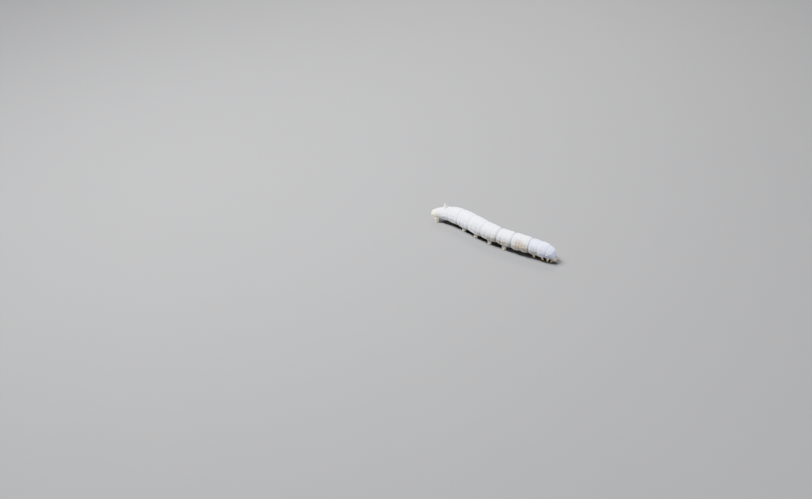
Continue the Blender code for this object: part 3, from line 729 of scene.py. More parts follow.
# %% Node helpers
class Finish:
    """A material whose colour, roughness and bump are built up layer by layer."""

    def __init__(self, name, colour, roughness):
        self.material = bpy.data.materials.new(name)
        self.material.use_nodes = True
        self.nodes, self.links = self.material.node_tree.nodes, self.material.node_tree.links
        self.shader = self.nodes["Principled BSDF"]
        self.where = self.nodes.new("ShaderNodeTexCoord").outputs["Object"]
        self.first, self.colour, self.bump = (*colour, 1.0), None, None
        self.set(Base_Color=self.first, Roughness=roughness)

    def set(self, **values):
        for socket, value in values.items():
            self.shader.inputs[socket.replace("_", " ")].default_value = value

    def node(self, kind, inputs, **settings):
        """A new node. Each input is a value, or the output of another node to link to."""
        node = self.nodes.new("ShaderNode" + kind)
        for setting, value in settings.items():
            setattr(node, setting, value)
        for socket, value in inputs.items():
            if isinstance(value, bpy.types.NodeSocket):
                self.links.new(value, node.inputs[socket])
            else:
                node.inputs[socket].default_value = value
        return node

    def stored(self, name):
        return self.node("Attribute", {}, attribute_name=name).outputs["Fac"]

    def noise(self, scale, detail=3.0, rough=0.55, warp=0.0):
        inputs = {"Scale": scale, "Detail": detail, "Roughness": rough, "Distortion": warp}
        return self.node("TexNoise", {"Vector": self.where, **inputs}).outputs["Fac"]

    def cells(self, scale, smooth=None):
        inputs, feature = {"Vector": self.where, "Scale": scale}, "F1"
        if smooth is not None:
            inputs["Smoothness"], feature = smooth, "SMOOTH_F1"
        return self.node("TexVoronoi", inputs, feature=feature).outputs["Distance"]

    def ranged(self, value, low, high, to_low=0.0, to_high=1.0):
        inputs = {"Value": value, "From Min": low, "From Max": high, "To Min": to_low, "To Max": to_high}
        return self.node("MapRange", inputs).outputs["Result"]

    def times(self, first, second):
        return self.node("Math", {0: first, 1: second}, operation="MULTIPLY", use_clamp=True).outputs["Value"]

    def paint(self, factor, colour):
        """Lays a colour over what is there, as strongly as the factor says."""
        node = self.node("Mix", {0: factor, 6: self.first, 7: (*colour, 1.0)}, data_type="RGBA")
        if self.colour is not None:
            self.links.new(self.colour, node.inputs[6])
        self.colour = node.outputs[2]
        self.links.new(self.colour, self.shader.inputs["Base Color"])

    def tint(self, name, most, colour):
        """Paints where a stored number says so."""
        self.paint(self.times(self.stored(name), most), colour)

    def patches(self, scale, detail, low, high, most, colour):
        """Paints the lumps of a noise, from where it passes `low` to full strength at `high`."""
        self.paint(self.ranged(self.noise(scale, detail), low, high, 0.0, most), colour)

    def rough(self, value):
        self.links.new(value, self.shader.inputs["Roughness"])

    def raise_by(self, value, distance, strength=1.0):
        inputs = {"Strength": strength, "Distance": distance, "Height": value}
        if self.bump is not None:
            inputs["Normal"] = self.bump
        self.bump = self.node("Bump", inputs).outputs["Normal"]
        self.links.new(self.bump, self.shader.inputs["Normal"])


def wear(item, finish):
    item.data.materials.clear()
    item.data.materials.append(finish.material)


print("a finish can:", [name for name in vars(Finish) if not name.startswith("_")])

# %% Chalky skin
chalk = Finish("chalky_skin", (0.77, 0.80, 0.95), 0.6)
chalk.set(Subsurface_Weight=0.22, Subsurface_Scale=0.0007, Subsurface_Radius=(1.0, 0.82, 0.7))
chalk.set(Sheen_Weight=0.08, Sheen_Roughness=0.5, Specular_IOR_Level=0.35)
chalk.patches(330, 4, 0.4, 0.72, 0.5, (0.69, 0.73, 0.92))
chalk.patches(900, 3, 0.5, 0.75, 0.3, (0.86, 0.86, 0.93))
# Painted blue-violet shade on the thorax.
chalk.tint("cool", 0.9, (0.51, 0.57, 0.95))
# Painted shade on the underside and the fore half.
chalk.tint("belly", 0.95, (0.27, 0.24, 0.165))
chalk.patches(5200, 2, 0.56, 0.75, 0.22, (0.7, 0.69, 0.7))
# Cream of the tail and feet, and painted warm reflection along the lower edges.
chalk.tint("cream", 0.9, (0.92, 0.81, 0.40))
chalk.tint("vessel", 0.3, (0.42, 0.47, 0.56))
# Painted shade in the grooves and folds.
chalk.tint("crease", 0.9, (0.18, 0.195, 0.275))
chalk.tint("seat", 0.25, (0.60, 0.52, 0.42))
# Tan marks; the two big low ones are partly painted shade.
blotches = chalk.ranged(chalk.noise(1800, 3), 0.3, 0.7, 0.8, 1.0)
chalk.paint(chalk.times(chalk.stored("marks"), blotches), (0.36, 0.25, 0.13))
chalk.rough(chalk.ranged(chalk.noise(2500, 3), 0.3, 0.7, 0.52, 0.7))
chalk.raise_by(chalk.noise(3400, 3, 0.6, 0.4), 0.00005, 0.55)
chalk.raise_by(chalk.cells(9500, 0.6), 0.000022, 0.5)
wear(skin, chalk)
print("skin nodes:", len(chalk.nodes))

# %% Hand the skin over
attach(skin, "root")
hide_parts(*NAMES, *[foot[0] for foot in feet])
print("skin stands for", len(NAMES) + len(feet), "solids")

# %% [markdown]
# ## Breathing holes
#
# Along each flank a caterpillar has small oval holes, one to a segment, each a dark rim round a brown
# sieve with a slit. A painted spot would be flat in the exported mesh. Each is a small dish instead: rings
# of points laid on the flank, low at the slit, high at the rim, and tucked under the skin outside. All
# eighteen are one mesh, because they are alike.


# %% Lay a dish on the flank
def on_skin(target):
    """Nearest point of the skin to a target, and the skin's direction there."""
    _, spot, normal, _ = skin.closest_point_on_mesh(Vector(target))
    return np.array(spot), np.array(normal)


DISH_PROFILE = (  # share of the radius, height in mm, how dark
    (0.0, 0.012, 0.9), (0.1, 0.014, 0.9), (0.2, 0.035, 0.5), (0.45, 0.055, 0.12), (0.68, 0.045, 0.12),
    (0.8, 0.07, 0.6), (0.9, 0.085, 0.9), (0.98, 0.06, 0.75), (1.06, 0.0, 0.4), (1.12, -0.12, 0.4),
)
DISH_RADII = (0.28 * MM, 0.43 * MM)
SLIT_SHARE, SLIT_SHAPE = 0.2, (0.5, 2.4)  # inside this share the oval is a slit: narrower and taller
DISH_AROUND = 30
dish_points, dish_faces, dish_dark = [], [], []
skin_now = vertices_of(skin)
for name, at, seat in spiracle_seats:
    middle, outward = on_skin(spot_on_body(at, seat))
    up = np.cross(outward, frames_at(at)[1])
    up /= np.linalg.norm(up)
    forward = np.cross(up, outward)
    size = 1.15 if name in ("prothorax", "abdomen_8") else 1.0
    rest = skin_now - middle
    under = np.hypot(rest @ forward / DISH_RADII[0], rest @ up / DISH_RADII[1]) < 0.95 * size
    under &= np.abs(rest @ outward) < 0.5 * MM
    middle = middle + outward * max(0.0, float((rest[under] @ outward).max()) - 0.01 * MM)
    first = len(dish_points)
    for share, raised, dark in DISH_PROFILE:
        shape = SLIT_SHAPE if share <= SLIT_SHARE else (1.0, 1.0)
        for i in range(DISH_AROUND):
            turn = 2 * math.pi * i / DISH_AROUND
            along_dish = DISH_RADII[0] * share * math.cos(turn) * shape[0]
            up_dish = DISH_RADII[1] * share * math.sin(turn) * shape[1]
            ridge = 0.012 * MM * math.cos(12 * turn) * (SLIT_SHARE < share < 0.7)
            spot = middle + size * (forward * along_dish + up * up_dish) + outward * (raised * MM + ridge)
            dish_points.append(spot)
            dish_dark.append(dark)
    for ring in range(len(DISH_PROFILE) - 1):
        for i in range(DISH_AROUND):
            j = (i + 1) % DISH_AROUND
            a, b = first + ring * DISH_AROUND, first + (ring + 1) * DISH_AROUND
            dish_faces.append((a + i, b + i, b + j, a + j) if ring else (a, b + i, b + j))
spiracles = object_from("breathing_holes", dish_points, dish_faces)
store(spiracles, dark=np.array(dish_dark))
spiracles.data.shade_smooth()
print("breathing holes:", len(dish_faces), "faces")

# %% Dark rim, brown sieve
rim = Finish("breathing_hole_shell", (0.50, 0.40, 0.30), 0.5)
rim.patches(6000, 3, 0.4, 0.7, 0.6, (0.60, 0.50, 0.40))
rim.paint(rim.stored("dark"), (0.10, 0.065, 0.045))
rim.raise_by(rim.noise(9000, 3), 0.00002, 0.6)
wear(spiracles, rim)
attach(spiracles, "root")
print("finish:", rim.material.name)

# %% [markdown]
# ## The tail horn
#
# On the back of the eighth abdominal segment stands one soft pointed horn, ringed with fine folds, whose
# foot spreads out into the skin. It stays a piece of its own. A cone would look turned on a lathe, so the
# tube follows the bent path of the solid, its rings swell and shrink with the folds, and noise breaks them.
# For the foot, rays are cast down onto the skin, and a skirt of rings is draped from there up to the tube.

# %% Path of the horn
HORN_LENGTH = 2.7 * MM
HORN_LEAN = math.radians(7)
HORN_BOW = 0.25 * MM
HORN_ROOT_DEPTH = 1.0 * MM
HORN_RADII = (1.65 * MM, 1.25 * MM, 0.84 * MM, 0.5 * MM, 0.22 * MM)
_, forward, _, up = frames_at(horn_at)
horn_up = up * math.cos(HORN_LEAN) - forward * math.sin(HORN_LEAN)
horn_root, horn_tip = saddle - horn_up * HORN_ROOT_DEPTH, saddle + horn_up * (HORN_LENGTH - 0.05 * MM)
horn_path = bent_path((horn_root, (horn_root + horn_tip) / 2 + forward * HORN_BOW, horn_tip), 90)
print("horn leans back by", round(math.degrees(HORN_LEAN)), "degrees")

# %% Ringed tube
HORN_AROUND = 56
horn_share = np.linspace(0.0, 1.0, len(horn_path))
horn_radii = spread(HORN_RADII, len(horn_path))
horn_radii = horn_radii * np.sqrt(np.clip((1.0 - horn_share) / 0.07, 0.02, 1.0)) ** 0.9
wander = 0.3 * np.sin(2 * math.pi * horn_share * 3.3)
folded = 1 + 0.028 * np.cos(2 * math.pi * (horn_share * 17 + wander)) * smooth_step(0.42, 0.6, horn_share)
horn_rings = rings_round(horn_path, horn_radii * folded, forward, HORN_AROUND)
SKIRT_TOP = 38  # the ring that the skirt joins
tube_rings = horn_rings[SKIRT_TOP:]
print("rings:", len(tube_rings))

# %% Skirt draped on the skin
SKIRT_RINGS = 14
SKIRT_REACH = 0.75 * MM  # how far the foot of the horn spreads beyond the tube
SKIRT_SINK = 0.04 * MM
skirt = []
top_ring = tube_rings[0]
for number in range(SKIRT_RINGS):
    share = number / SKIRT_RINGS
    ring = []
    for point in top_ring:
        across = point - horn_path[SKIRT_TOP]
        across = across / np.linalg.norm(across)
        above_skin = point + across * SKIRT_REACH * (1 - share) ** 1.6 + horn_up * 2 * MM
        _, spot, _, _ = skin.ray_cast(Vector(above_skin), Vector(-horn_up))
        foot = np.array(spot) - horn_up * SKIRT_SINK
        rise_here = max(0.0, float((point - foot) @ horn_up))
        ring.append(foot + horn_up * rise_here * share**2.2)
    skirt.append(ring)
horn_rings = np.concatenate([np.array(skirt), tube_rings])
print("skirt rings:", len(skirt))

# %% Roughen and close the horn
flat = horn_rings.reshape(-1, 3)
outward = (horn_rings - horn_rings.mean(axis=1, keepdims=True)).reshape(-1, 3)
outward /= np.maximum(np.linalg.norm(outward, axis=1)[:, None], 1e-9)
ring_share = np.concatenate([np.linspace(-0.4, 0, SKIRT_RINGS), np.linspace(0, 1, len(tube_rings))])
rough = np.repeat(smooth_step(-0.3, 0.1, ring_share), HORN_AROUND)
rough = rough * (0.035 * MM * lumps(flat, 0.35 * MM, 5) + 0.02 * MM * lumps(flat, 0.16 * MM, 6))
horn_rings = (flat + outward * rough[:, None]).reshape(horn_rings.shape)
horn = joined("tail_horn", [tube(horn_rings)])
store(horn, tip=per_point(smooth_step(0.2, 1.0, ring_share), HORN_AROUND))
horn.data.shade_smooth()
print("horn top at", round(float(vertices_of(horn)[:, 2].max()) / MM, 2), "mm")

# %% Pale skin of the horn
horn_skin = Finish("horn_skin", (0.81, 0.81, 0.83), 0.58)
horn_skin.set(Subsurface_Weight=0.2, Subsurface_Scale=0.0006, Subsurface_Radius=(1.0, 0.8, 0.65))
horn_skin.patches(900, 4, 0.42, 0.72, 0.5, (0.70, 0.68, 0.66))
horn_skin.tint("tip", 0.75, (0.74, 0.66, 0.50))
horn_skin.raise_by(horn_skin.noise(6500, 3), 0.00004, 0.6)
wear(horn, horn_skin)
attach(horn, "root")
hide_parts("caudal_horn")
print("horn pieces:", horn.name)

# %% [markdown]
# ## Hooks under the fleshy feet
#
# A caterpillar holds on with a half ring of tiny brown hooks, the crochets, along the inner edge of each
# sole. They are too small to model one by one by hand, and the export drops instances, so a loop sets the
# same few-sided hook round each sole, big and small in turn, and joins all into one mesh.


# %% One small hook, many times
HOOKS_PER_FOOT = 21
HOOK_SPREAD = 68  # degrees to each side of the sole's inner edge
HOOK_LENGTHS = (0.27 * MM, 0.18 * MM)
HOOK_RADII = 0.045 * MM * np.array([1.0, 1.0, 0.9, 0.7, 0.45, 0.12])
HOOK_AROUND = 5
DOWN = np.array([0.0, 0.0, -1.0])


def hook(root, outward, length):
    """A hook that leaves its root outwards, turns down and ends in a point."""
    bend, tip = root + outward * length * 0.7, root + outward * length * 0.75 + DOWN * length
    path = bent_path((root, bend, tip), len(HOOK_RADII) - 1)
    return tube(rings_round(path, HOOK_RADII, np.cross(outward, DOWN), HOOK_AROUND))


hook_tubes = []
for _, side, place, path, radii in feet:
    _, forward, left, _ = frames_at(place)
    for number in range(HOOKS_PER_FOOT):
        turn = math.radians(-HOOK_SPREAD + 2 * HOOK_SPREAD * number / (HOOKS_PER_FOOT - 1))
        outward = -side * left * math.cos(turn) + forward * math.sin(turn)
        outward[2] = 0.0
        outward /= np.linalg.norm(outward)
        root = path[-1] + outward * (radii[-1] - 0.12 * MM) + np.array([0, 0, 0.3 * MM])
        hook_tubes.append(hook(root, outward, HOOK_LENGTHS[number % 2]))
hooks = joined("crochets", hook_tubes)
hooks.data.shade_smooth()
print("hooks:", len(hook_tubes), "lowest at", *in_mm([vertices_of(hooks)[:, 2].min()]), "mm")

# %% Brown horn of the hooks
hook_shell = Finish("crochet_shell", (0.2, 0.11, 0.05), 0.35)
hook_shell.patches(4000, 2, 0.4, 0.7, 1.0, (0.36, 0.2, 0.09))
hook_shell.raise_by(hook_shell.noise(20000, 2), 0.00001, 0.4)
wear(hooks, hook_shell)
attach(hooks, "root")
print("finish:", hook_shell.material.name)

# %% [markdown]
# ## The six jointed legs
#
# Behind the head stand three pairs of short amber legs with hard shells, each of three joints and a dark
# claw. The solid is one bent cone. The piece keeps its path and adds what the cone lacks: each joint swells
# and ends in a ring, soft pale skin shows between two rings, and the last joint narrows to a curved claw.

# %% Sizes of the true legs
TRUE_LEGS = (
    ("foreleg", "prothorax", 0.26, 1.25 * MM, 2.0 * MM, 1.4 * MM, -0.1 * MM),
    ("midleg", "mesothorax", 0.5, 1.4 * MM, 2.2 * MM, 1.4 * MM, 0.6 * MM),
    ("hindleg", "metathorax", 0.5, 1.5 * MM, 2.35 * MM, 1.5 * MM, 0.6 * MM),
)
TRUE_LEG_ROOT_HEIGHT = 3.0 * MM
TRUE_LEG_KNEE_HEIGHT = 1.5 * MM
TRUE_LEG_RADII = (0.72 * MM, 0.62 * MM, 0.46 * MM, 0.32 * MM, 0.22 * MM)
LEG_JOINTS = (0.36, 0.58, 0.77)
LEG_STEPS = 110
LEG_AROUND = 36
CLAW_SHARE = 0.9


def true_leg_path(place, side, root, knee, foot, ahead):
    return bent_path((
        beside(place, side * root, TRUE_LEG_ROOT_HEIGHT),
        beside(place, side * knee, TRUE_LEG_KNEE_HEIGHT, ahead * 0.2),
        beside(place, side * knee, 0.6 * TRUE_LEG_KNEE_HEIGHT, ahead * 0.9),
        beside(place, side * foot, 0.25 * TRUE_LEG_KNEE_HEIGHT, ahead),
        beside(place, side * foot, 0.0, ahead),
    ), LEG_STEPS)


# %% Shape one leg
def leg_profile(share):
    """Radius of a leg along it: joints that swell, rings at their ends, and a claw."""
    radius = spread(TRUE_LEG_RADII, len(share))
    for joint in LEG_JOINTS:
        radius *= 1 - 0.26 * bell(share - joint, 0.016)
        radius *= 1 + 0.10 * bell(share - joint + 0.035, 0.018) + 0.06 * bell(share - joint - 0.04, 0.03)
    claw = smooth_step(CLAW_SHARE - 0.05, CLAW_SHARE + 0.01, share)
    taper = np.clip((1 - share) / (1 - CLAW_SHARE), 0.06, 1.0)
    return radius * (1 - claw) + claw * 0.13 * MM * taper**0.8


leg_share = np.linspace(0.0, 1.0, LEG_STEPS + 1)
leg_soft = sum(bell(leg_share - joint, 0.02) for joint in LEG_JOINTS)
leg_soft = np.maximum(leg_soft, smooth_step(0.3, 0.2, leg_share))
leg_tip = smooth_step(CLAW_SHARE - 0.05, CLAW_SHARE, leg_share)
true_legs = []
for side, word in SIDES:
    for name, segment, share_along, root, knee, foot, ahead in TRUE_LEGS:
        place = place_in(segment, share_along)
        path = true_leg_path(place, side, root, knee, foot, ahead).copy()
        inward = -side * frames_at(place)[2]
        path += inward * (0.16 * MM * smooth_step(CLAW_SHARE - 0.04, 1.0, leg_share) ** 2)[:, None]
        path[:, 2] += 0.012 * MM * smooth_step(0.9, 1.0, leg_share)
        leg_rings = rings_round(path, leg_profile(leg_share), frames_at(place)[1], LEG_AROUND)
        leg = joined(f"{name}_{word}_shell", [tube(leg_rings)])
        store(leg, soft=per_point(leg_soft, LEG_AROUND), tip=per_point(leg_tip, LEG_AROUND))
        leg.data.shade_smooth()
        true_legs.append((leg, f"{name}_{word}"))
print("legs:", [leg.name for leg, _ in true_legs])

# %% Amber shell with pale joints and dark claws
amber = Finish("amber_leg_shell", (0.66, 0.48, 0.28), 0.38)
amber.set(Subsurface_Weight=0.1, Subsurface_Scale=0.0003, Coat_Weight=0.15, Coat_Roughness=0.3)
amber.patches(1500, 4, 0.42, 0.68, 0.7, (0.48, 0.31, 0.15))
amber.tint("soft", 0.9, (0.82, 0.77, 0.68))
amber.paint(amber.stored("tip"), (0.10, 0.05, 0.025))
amber.raise_by(amber.cells(7000), 0.00002, 0.35)
for leg, node in true_legs:
    wear(leg, amber)
    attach(leg, "root")
    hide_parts(node)
print("legs finished:", len(true_legs))

# %% [markdown]
# ## The head
#
# The head is a small hard capsule of two rounded cheeks with a triangular plate between them, a notched
# upper lip over two dark jaws, and below them the spinneret that draws the silk. It is bent down under the
# first segment. Its parts run smoothly into one another, so they are laid together as ellipsoids and poured
# over with fine voxels, and then the seams of the shell are pressed in along lines drawn on its face.

# %% Sizes of the head
HEAD_PITCH = math.radians(78)
HEAD_AHEAD = 0.85 * MM
HEAD_DROP = 0.1 * MM
LOBE_OFFSET = 0.43 * MM
LOBE_RADII = (1.5 * MM, 1.42 * MM, 1.78 * MM)
neck = matrix_at(BODY_LENGTH)
head_place = Matrix.Translation(neck @ Vector((HEAD_AHEAD, 0.0, -HEAD_DROP)))
HEAD = head_place @ Matrix.Rotation(float(HEADING[-1]), 4, "Z") @ Matrix.Rotation(HEAD_PITCH, 4, "Y")
HEAD_PIECES = (  # name, place, radii in mm, tilt; a place off the middle is set on both sides
    ("core", (-0.2, 0.0, 0.0), (1.25, 1.2, 1.5), 0.0),
    ("cheek", (0.0, 0.43, 0.0), (1.5, 1.42, 1.78), 0.0),
    ("face", (0.62, 0.0, -0.6), (0.92, 0.85, 1.0), 0.2),
    ("upper_lip", (1.1, 0.0, -1.3), (0.42, 0.66, 0.36), 0.3),
    ("mandible", (0.8, 0.4, -1.58), (0.46, 0.44, 0.6), 0.25),
    ("maxilla", (0.12, 0.62, -1.7), (0.4, 0.36, 0.55), -0.1),
    ("palp", (0.2, 0.8, -2.12), (0.13, 0.13, 0.3), -0.2),
    ("lower_lip", (-0.02, 0.0, -1.7), (0.5, 0.38, 0.5), 0.0),
    ("spinneret", (0.12, 0.0, -2.15), (0.22, 0.22, 0.4), -0.3),
)
HEAD_VOXEL = 0.05 * MM
print("head at", in_mm(HEAD.translation), "mm")


# %% Pour the head
def ball(matrix, radii, around=40, rows=24):
    """An ellipsoid as a closed tube, ring by ring from its lowest point."""
    rise = np.linspace(-math.pi / 2, math.pi / 2, rows + 2)[1:-1, None]
    turn = np.linspace(0, 2 * math.pi, around, endpoint=False)
    rings = [np.cos(rise) * np.cos(turn), np.cos(rise) * np.sin(turn), np.sin(rise) + 0 * turn]
    unit = np.stack(rings, axis=2).reshape(-1, 3)
    unit = np.concatenate([unit, [[0, 0, -1.0]], [[0, 0, 1.0]]]) * np.asarray(radii)
    world = np.array(matrix)
    return unit @ world[:3, :3].T + world[:3, 3], rows, around


head_balls = []
for _, (x, y, z), radii, tilt in HEAD_PIECES:
    for side in ((1, -1) if y else (1,)):
        local = Matrix.Translation(Vector((x, side * y, z)) * MM) @ Matrix.Rotation(tilt, 4, "Y")
        head_balls.append(ball(HEAD @ local, [radius * MM for radius in radii]))
head = joined("head_shell", head_balls)
remeshed(head, HEAD_VOXEL)
print("head:", len(head.data.polygons) * 2, "triangles")


# %% Press in the seams
def line_distance(a, b, start, end):
    """Distance in a plane from points (a, b) to a line between two ends."""
    run = np.array(end, float) - start
    t = np.clip(((a - start[0]) * run[0] + (b - start[1]) * run[1]) / (run @ run), 0, 1)
    return np.hypot(a - start[0] - t * run[0], b - start[1] - t * run[1])


points = relaxed(vertices_of(head), edges_of(head), 0.5, 5)
set_vertices(head, points)
to_head = np.array(HEAD.inverted())
x, y, z = ((points @ to_head[:3, :3].T + to_head[:3, 3]) / MM).T
wide = np.abs(y)
front = smooth_step(0.0, 0.35, x)
APEX, CORNER = (0.0, 0.35), (0.72, -1.0)  # of the face plate, sideways and up in mm
crown_seam = bell(wide, 0.055) * smooth_step(APEX[1] - 0.1, APEX[1] + 0.1, z)
plate_seam = bell(line_distance(wide, z, APEX, CORNER), 0.05) * front
inner_seam = bell(line_distance(wide, z, (0.0, 0.05), (0.5, -0.98)), 0.045) * front
lip_seam = bell(z + 1.02 + 0.12 * wide, 0.05) * front * (wide < 0.75)
lip_notch = bell(wide, 0.09) * smooth_step(-1.25, -1.5, z) * smooth_step(0.9, 1.1, x)
jaw_gap = bell(wide, 0.05) * smooth_step(-1.5, -1.7, z) * smooth_step(0.55, 0.8, x)
cheek_back = bell(line_distance(x, z, (-0.2, -1.1), (0.75, -1.35)), 0.06) * (wide > 0.6)
seams = np.clip(crown_seam + plate_seam + 0.6 * inner_seam + lip_seam + cheek_back, 0, 1)
press = -0.075 * MM * np.clip(crown_seam + plate_seam, 0, 1) - 0.035 * MM * inner_seam - 0.06 * MM * lip_seam
press -= 0.16 * MM * lip_notch + 0.09 * MM * jaw_gap + 0.05 * MM * cheek_back
press -= 0.05 * MM * bell(line_distance(wide, z, (0.12, -0.3), (0.3, -0.8)), 0.13) * front
grain = lumps(points, 0.16 * MM, 7)
press += 0.007 * MM * grain + 0.012 * MM * lumps(points, 0.45 * MM, 8)
teeth = smooth_step(-1.85, -2.1, z) * smooth_step(0.45, 0.7, x) * (wide < 0.95)
press += 0.05 * MM * teeth * np.cos(y * 2 * math.pi / 0.2)
set_vertices(head, points + normals_of(head) * press[:, None])
head.data.shade_smooth()
print("seam points:", int((seams > 0.4).sum()))

# %% Numbers for the head's colours
jaw = smooth_step(-1.62, -2.0, z) * smooth_step(0.35, 0.6, x)
mouth = smooth_step(-1.15, -1.6, z)
spotted = lumps(points, 0.34 * MM, 9) + 0.5 * lumps(points, 0.15 * MM, 10)
past_edge = wide - CORNER[0] * (APEX[1] - z) / (APEX[1] - CORNER[1])
plate = smooth_step(0.06, -0.02, past_edge) * (z < APEX[1]) * (z > CORNER[1]) * front
eye_field = bell(np.hypot(wide - 1.25, z + 0.85), 0.5) * front
spots = smooth_step(0.0, 0.5, spotted) * (1 - 0.75 * plate) * (1 - mouth)
store(head, seams=seams, jaw=jaw, mouth=mouth, spots=spots, plate=plate, eye_field=eye_field)
print("spotted points:", int((spotted > 0.25).sum()))

# %% Mottled shell
shell = Finish("mottled_head_shell", (0.60, 0.51, 0.41), 0.36)
shell.set(Coat_Weight=0.25, Coat_Roughness=0.22, Subsurface_Weight=0.08, Subsurface_Scale=0.0003)
shell.patches(1400, 4, 0.4, 0.7, 0.6, (0.45, 0.35, 0.25))
shell.tint("plate", 0.5, (0.68, 0.57, 0.43))
shell.tint("spots", 0.75, (0.20, 0.12, 0.07))
shell.tint("eye_field", 0.6, (0.16, 0.10, 0.06))
shell.tint("mouth", 0.55, (0.62, 0.48, 0.34))
shell.tint("seams", 0.7, (0.24, 0.15, 0.09))
shell.paint(shell.stored("jaw"), (0.07, 0.035, 0.02))
shell.rough(shell.ranged(shell.noise(4000, 2), 0.35, 0.7, 0.3, 0.46))
shell.raise_by(shell.cells(9000), 0.000014, 0.35)
shell.raise_by(shell.noise(2600, 3), 0.00003, 0.35)
wear(head, shell)
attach(head, "root")
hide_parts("head")
print("head nodes:", len(shell.nodes))

# %% [markdown]
# ## Simple eyes and feelers
#
# Low on each cheek a caterpillar has six tiny glossy eyes, five in an arc and one behind, and in front of
# them a stubby feeler of three joints that slide into one another. The eyes stay separate, so that their
# black gloss doesn't bleed into the shell. The feelers keep the place and length of their solids.

# %% Six eyes a side
EYE_RADIUS = 0.14 * MM
EYES, EYES_IN_ARC = 6, 5
EYES_AROUND, EYES_ABOVE = math.radians(38), math.radians(-30)
EYE_ARC_RADIUS, EYE_ARC_START, EYE_ARC_STEP = 0.36, math.radians(-62), math.radians(31)
LAST_EYE = (-0.34, -0.12)


def eye_spot(number, side):
    across, upward = LAST_EYE
    if number < EYES_IN_ARC:
        turn = EYE_ARC_START + EYE_ARC_STEP * number
        across, upward = EYE_ARC_RADIUS * math.cos(turn), EYE_ARC_RADIUS * math.sin(turn)
    around, above = EYES_AROUND - across, EYES_ABOVE + upward
    x = LOBE_RADII[0] * math.cos(around) * math.cos(above)
    y = LOBE_OFFSET + LOBE_RADII[1] * math.sin(around) * math.cos(above)
    return Vector((x, side * y, LOBE_RADII[2] * math.sin(above)))


eye_spots = [eye_spot(number, side) for side, _ in SIDES for number in range(EYES)]
eyes = joined("simple_eyes", [
    ball(HEAD @ Matrix.Translation(spot), (EYE_RADIUS,) * 3, around=20, rows=12) for spot in eye_spots
])
eyes.data.shade_smooth()
gloss = Finish("black_eye_gloss", (0.012, 0.010, 0.009), 0.08)
gloss.set(Coat_Weight=0.6, Coat_Roughness=0.04)
gloss.patches(9000, 2, 0.5, 0.8, 0.5, (0.05, 0.03, 0.02))
wear(eyes, gloss)
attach(eyes, "root")
print("eyes:", len(eye_spots))

# %% Feelers
ANTENNA_BASE = Vector((1.1, 1.15, -0.95)) * MM
ANTENNA_TIP = Vector((1.62, 1.85, -1.3)) * MM
FEELER_PROFILE = (  # share of the length, radius in mm
    (0.0, 0.29), (0.12, 0.31), (0.3, 0.30), (0.34, 0.29), (0.355, 0.2), (0.4, 0.21), (0.6, 0.215),
    (0.68, 0.21), (0.695, 0.13), (0.74, 0.14), (0.88, 0.13), (0.9, 0.06), (0.93, 0.05), (1.0, 0.012),
)
FEELER_AROUND = 28
feeler_steps = np.linspace(0.0, 1.0, 90)
feeler_radii = np.interp(feeler_steps, *np.array(FEELER_PROFILE).T) * MM
feeler_soft = bell(feeler_steps - 0.37, 0.03) + bell(feeler_steps - 0.71, 0.03)
feeler_tip = smooth_step(0.86, 0.95, feeler_steps)
for side, word in SIDES:
    ends = [np.array(HEAD @ Vector((v.x, side * v.y, v.z))) for v in (ANTENNA_BASE, ANTENNA_TIP)]
    path = ends[0] + (ends[1] - ends[0]) * feeler_steps[:, None]
    feeler_rings = rings_round(path, feeler_radii, np.array(HEAD.to_3x3().col[2]), FEELER_AROUND)
    feeler = joined(f"feeler_{word}", [tube(feeler_rings)])
    store(feeler, soft=per_point(feeler_soft, FEELER_AROUND), tip=per_point(feeler_tip, FEELER_AROUND))
    feeler.data.shade_smooth()
    wear(feeler, amber)
    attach(feeler, "root")
    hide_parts(f"antenna_{word}")
    print(feeler.name, "from", in_mm(ends[0]), "to", in_mm(ends[1]), "mm")

# %% [markdown]
# ## Fine bristles
#
# A grown silkworm looks bare, but close up it has short soft bristles, thickest round the front edge, on
# the feet and at the tail. The export drops particle hair, so each is a thin three-sided cone that leans
# back along the body. They share one mesh, with a map that puts each at its root's place on the skin,
# unrolled as place along the body by angle round it.

# %% Scatter the roots
BRISTLES = 900
BRISTLE_PATCH = 0.003
rng = random.Random(11)
skin_points, skin_normals = vertices_of(skin), normals_of(skin)
place, angle, reach = locate(skin_points)
wanted = 0.10 + 0.9 * smooth_step(BODY_LENGTH - 4 * MM, BODY_LENGTH - 0.8 * MM, place)
wanted += 0.5 * smooth_step(3 * MM, 0, place)
wanted += 0.35 * bell(np.arcsin(np.clip(np.sin(angle), -1, 1)) + 0.6, 0.35)
wanted += 0.5 * smooth_step(1.06, 1.14, reach)
wanted *= (skin_points[:, 2] > 0.35 * MM) * (skin_normals[:, 2] > -0.6) * (place < BODY_LENGTH - 0.3 * MM)
order = list(range(len(skin_points)))
rng.shuffle(order)
roots = [i for i in order if rng.random() < 0.04 * wanted[i]][:BRISTLES]
print("bristles:", len(roots))

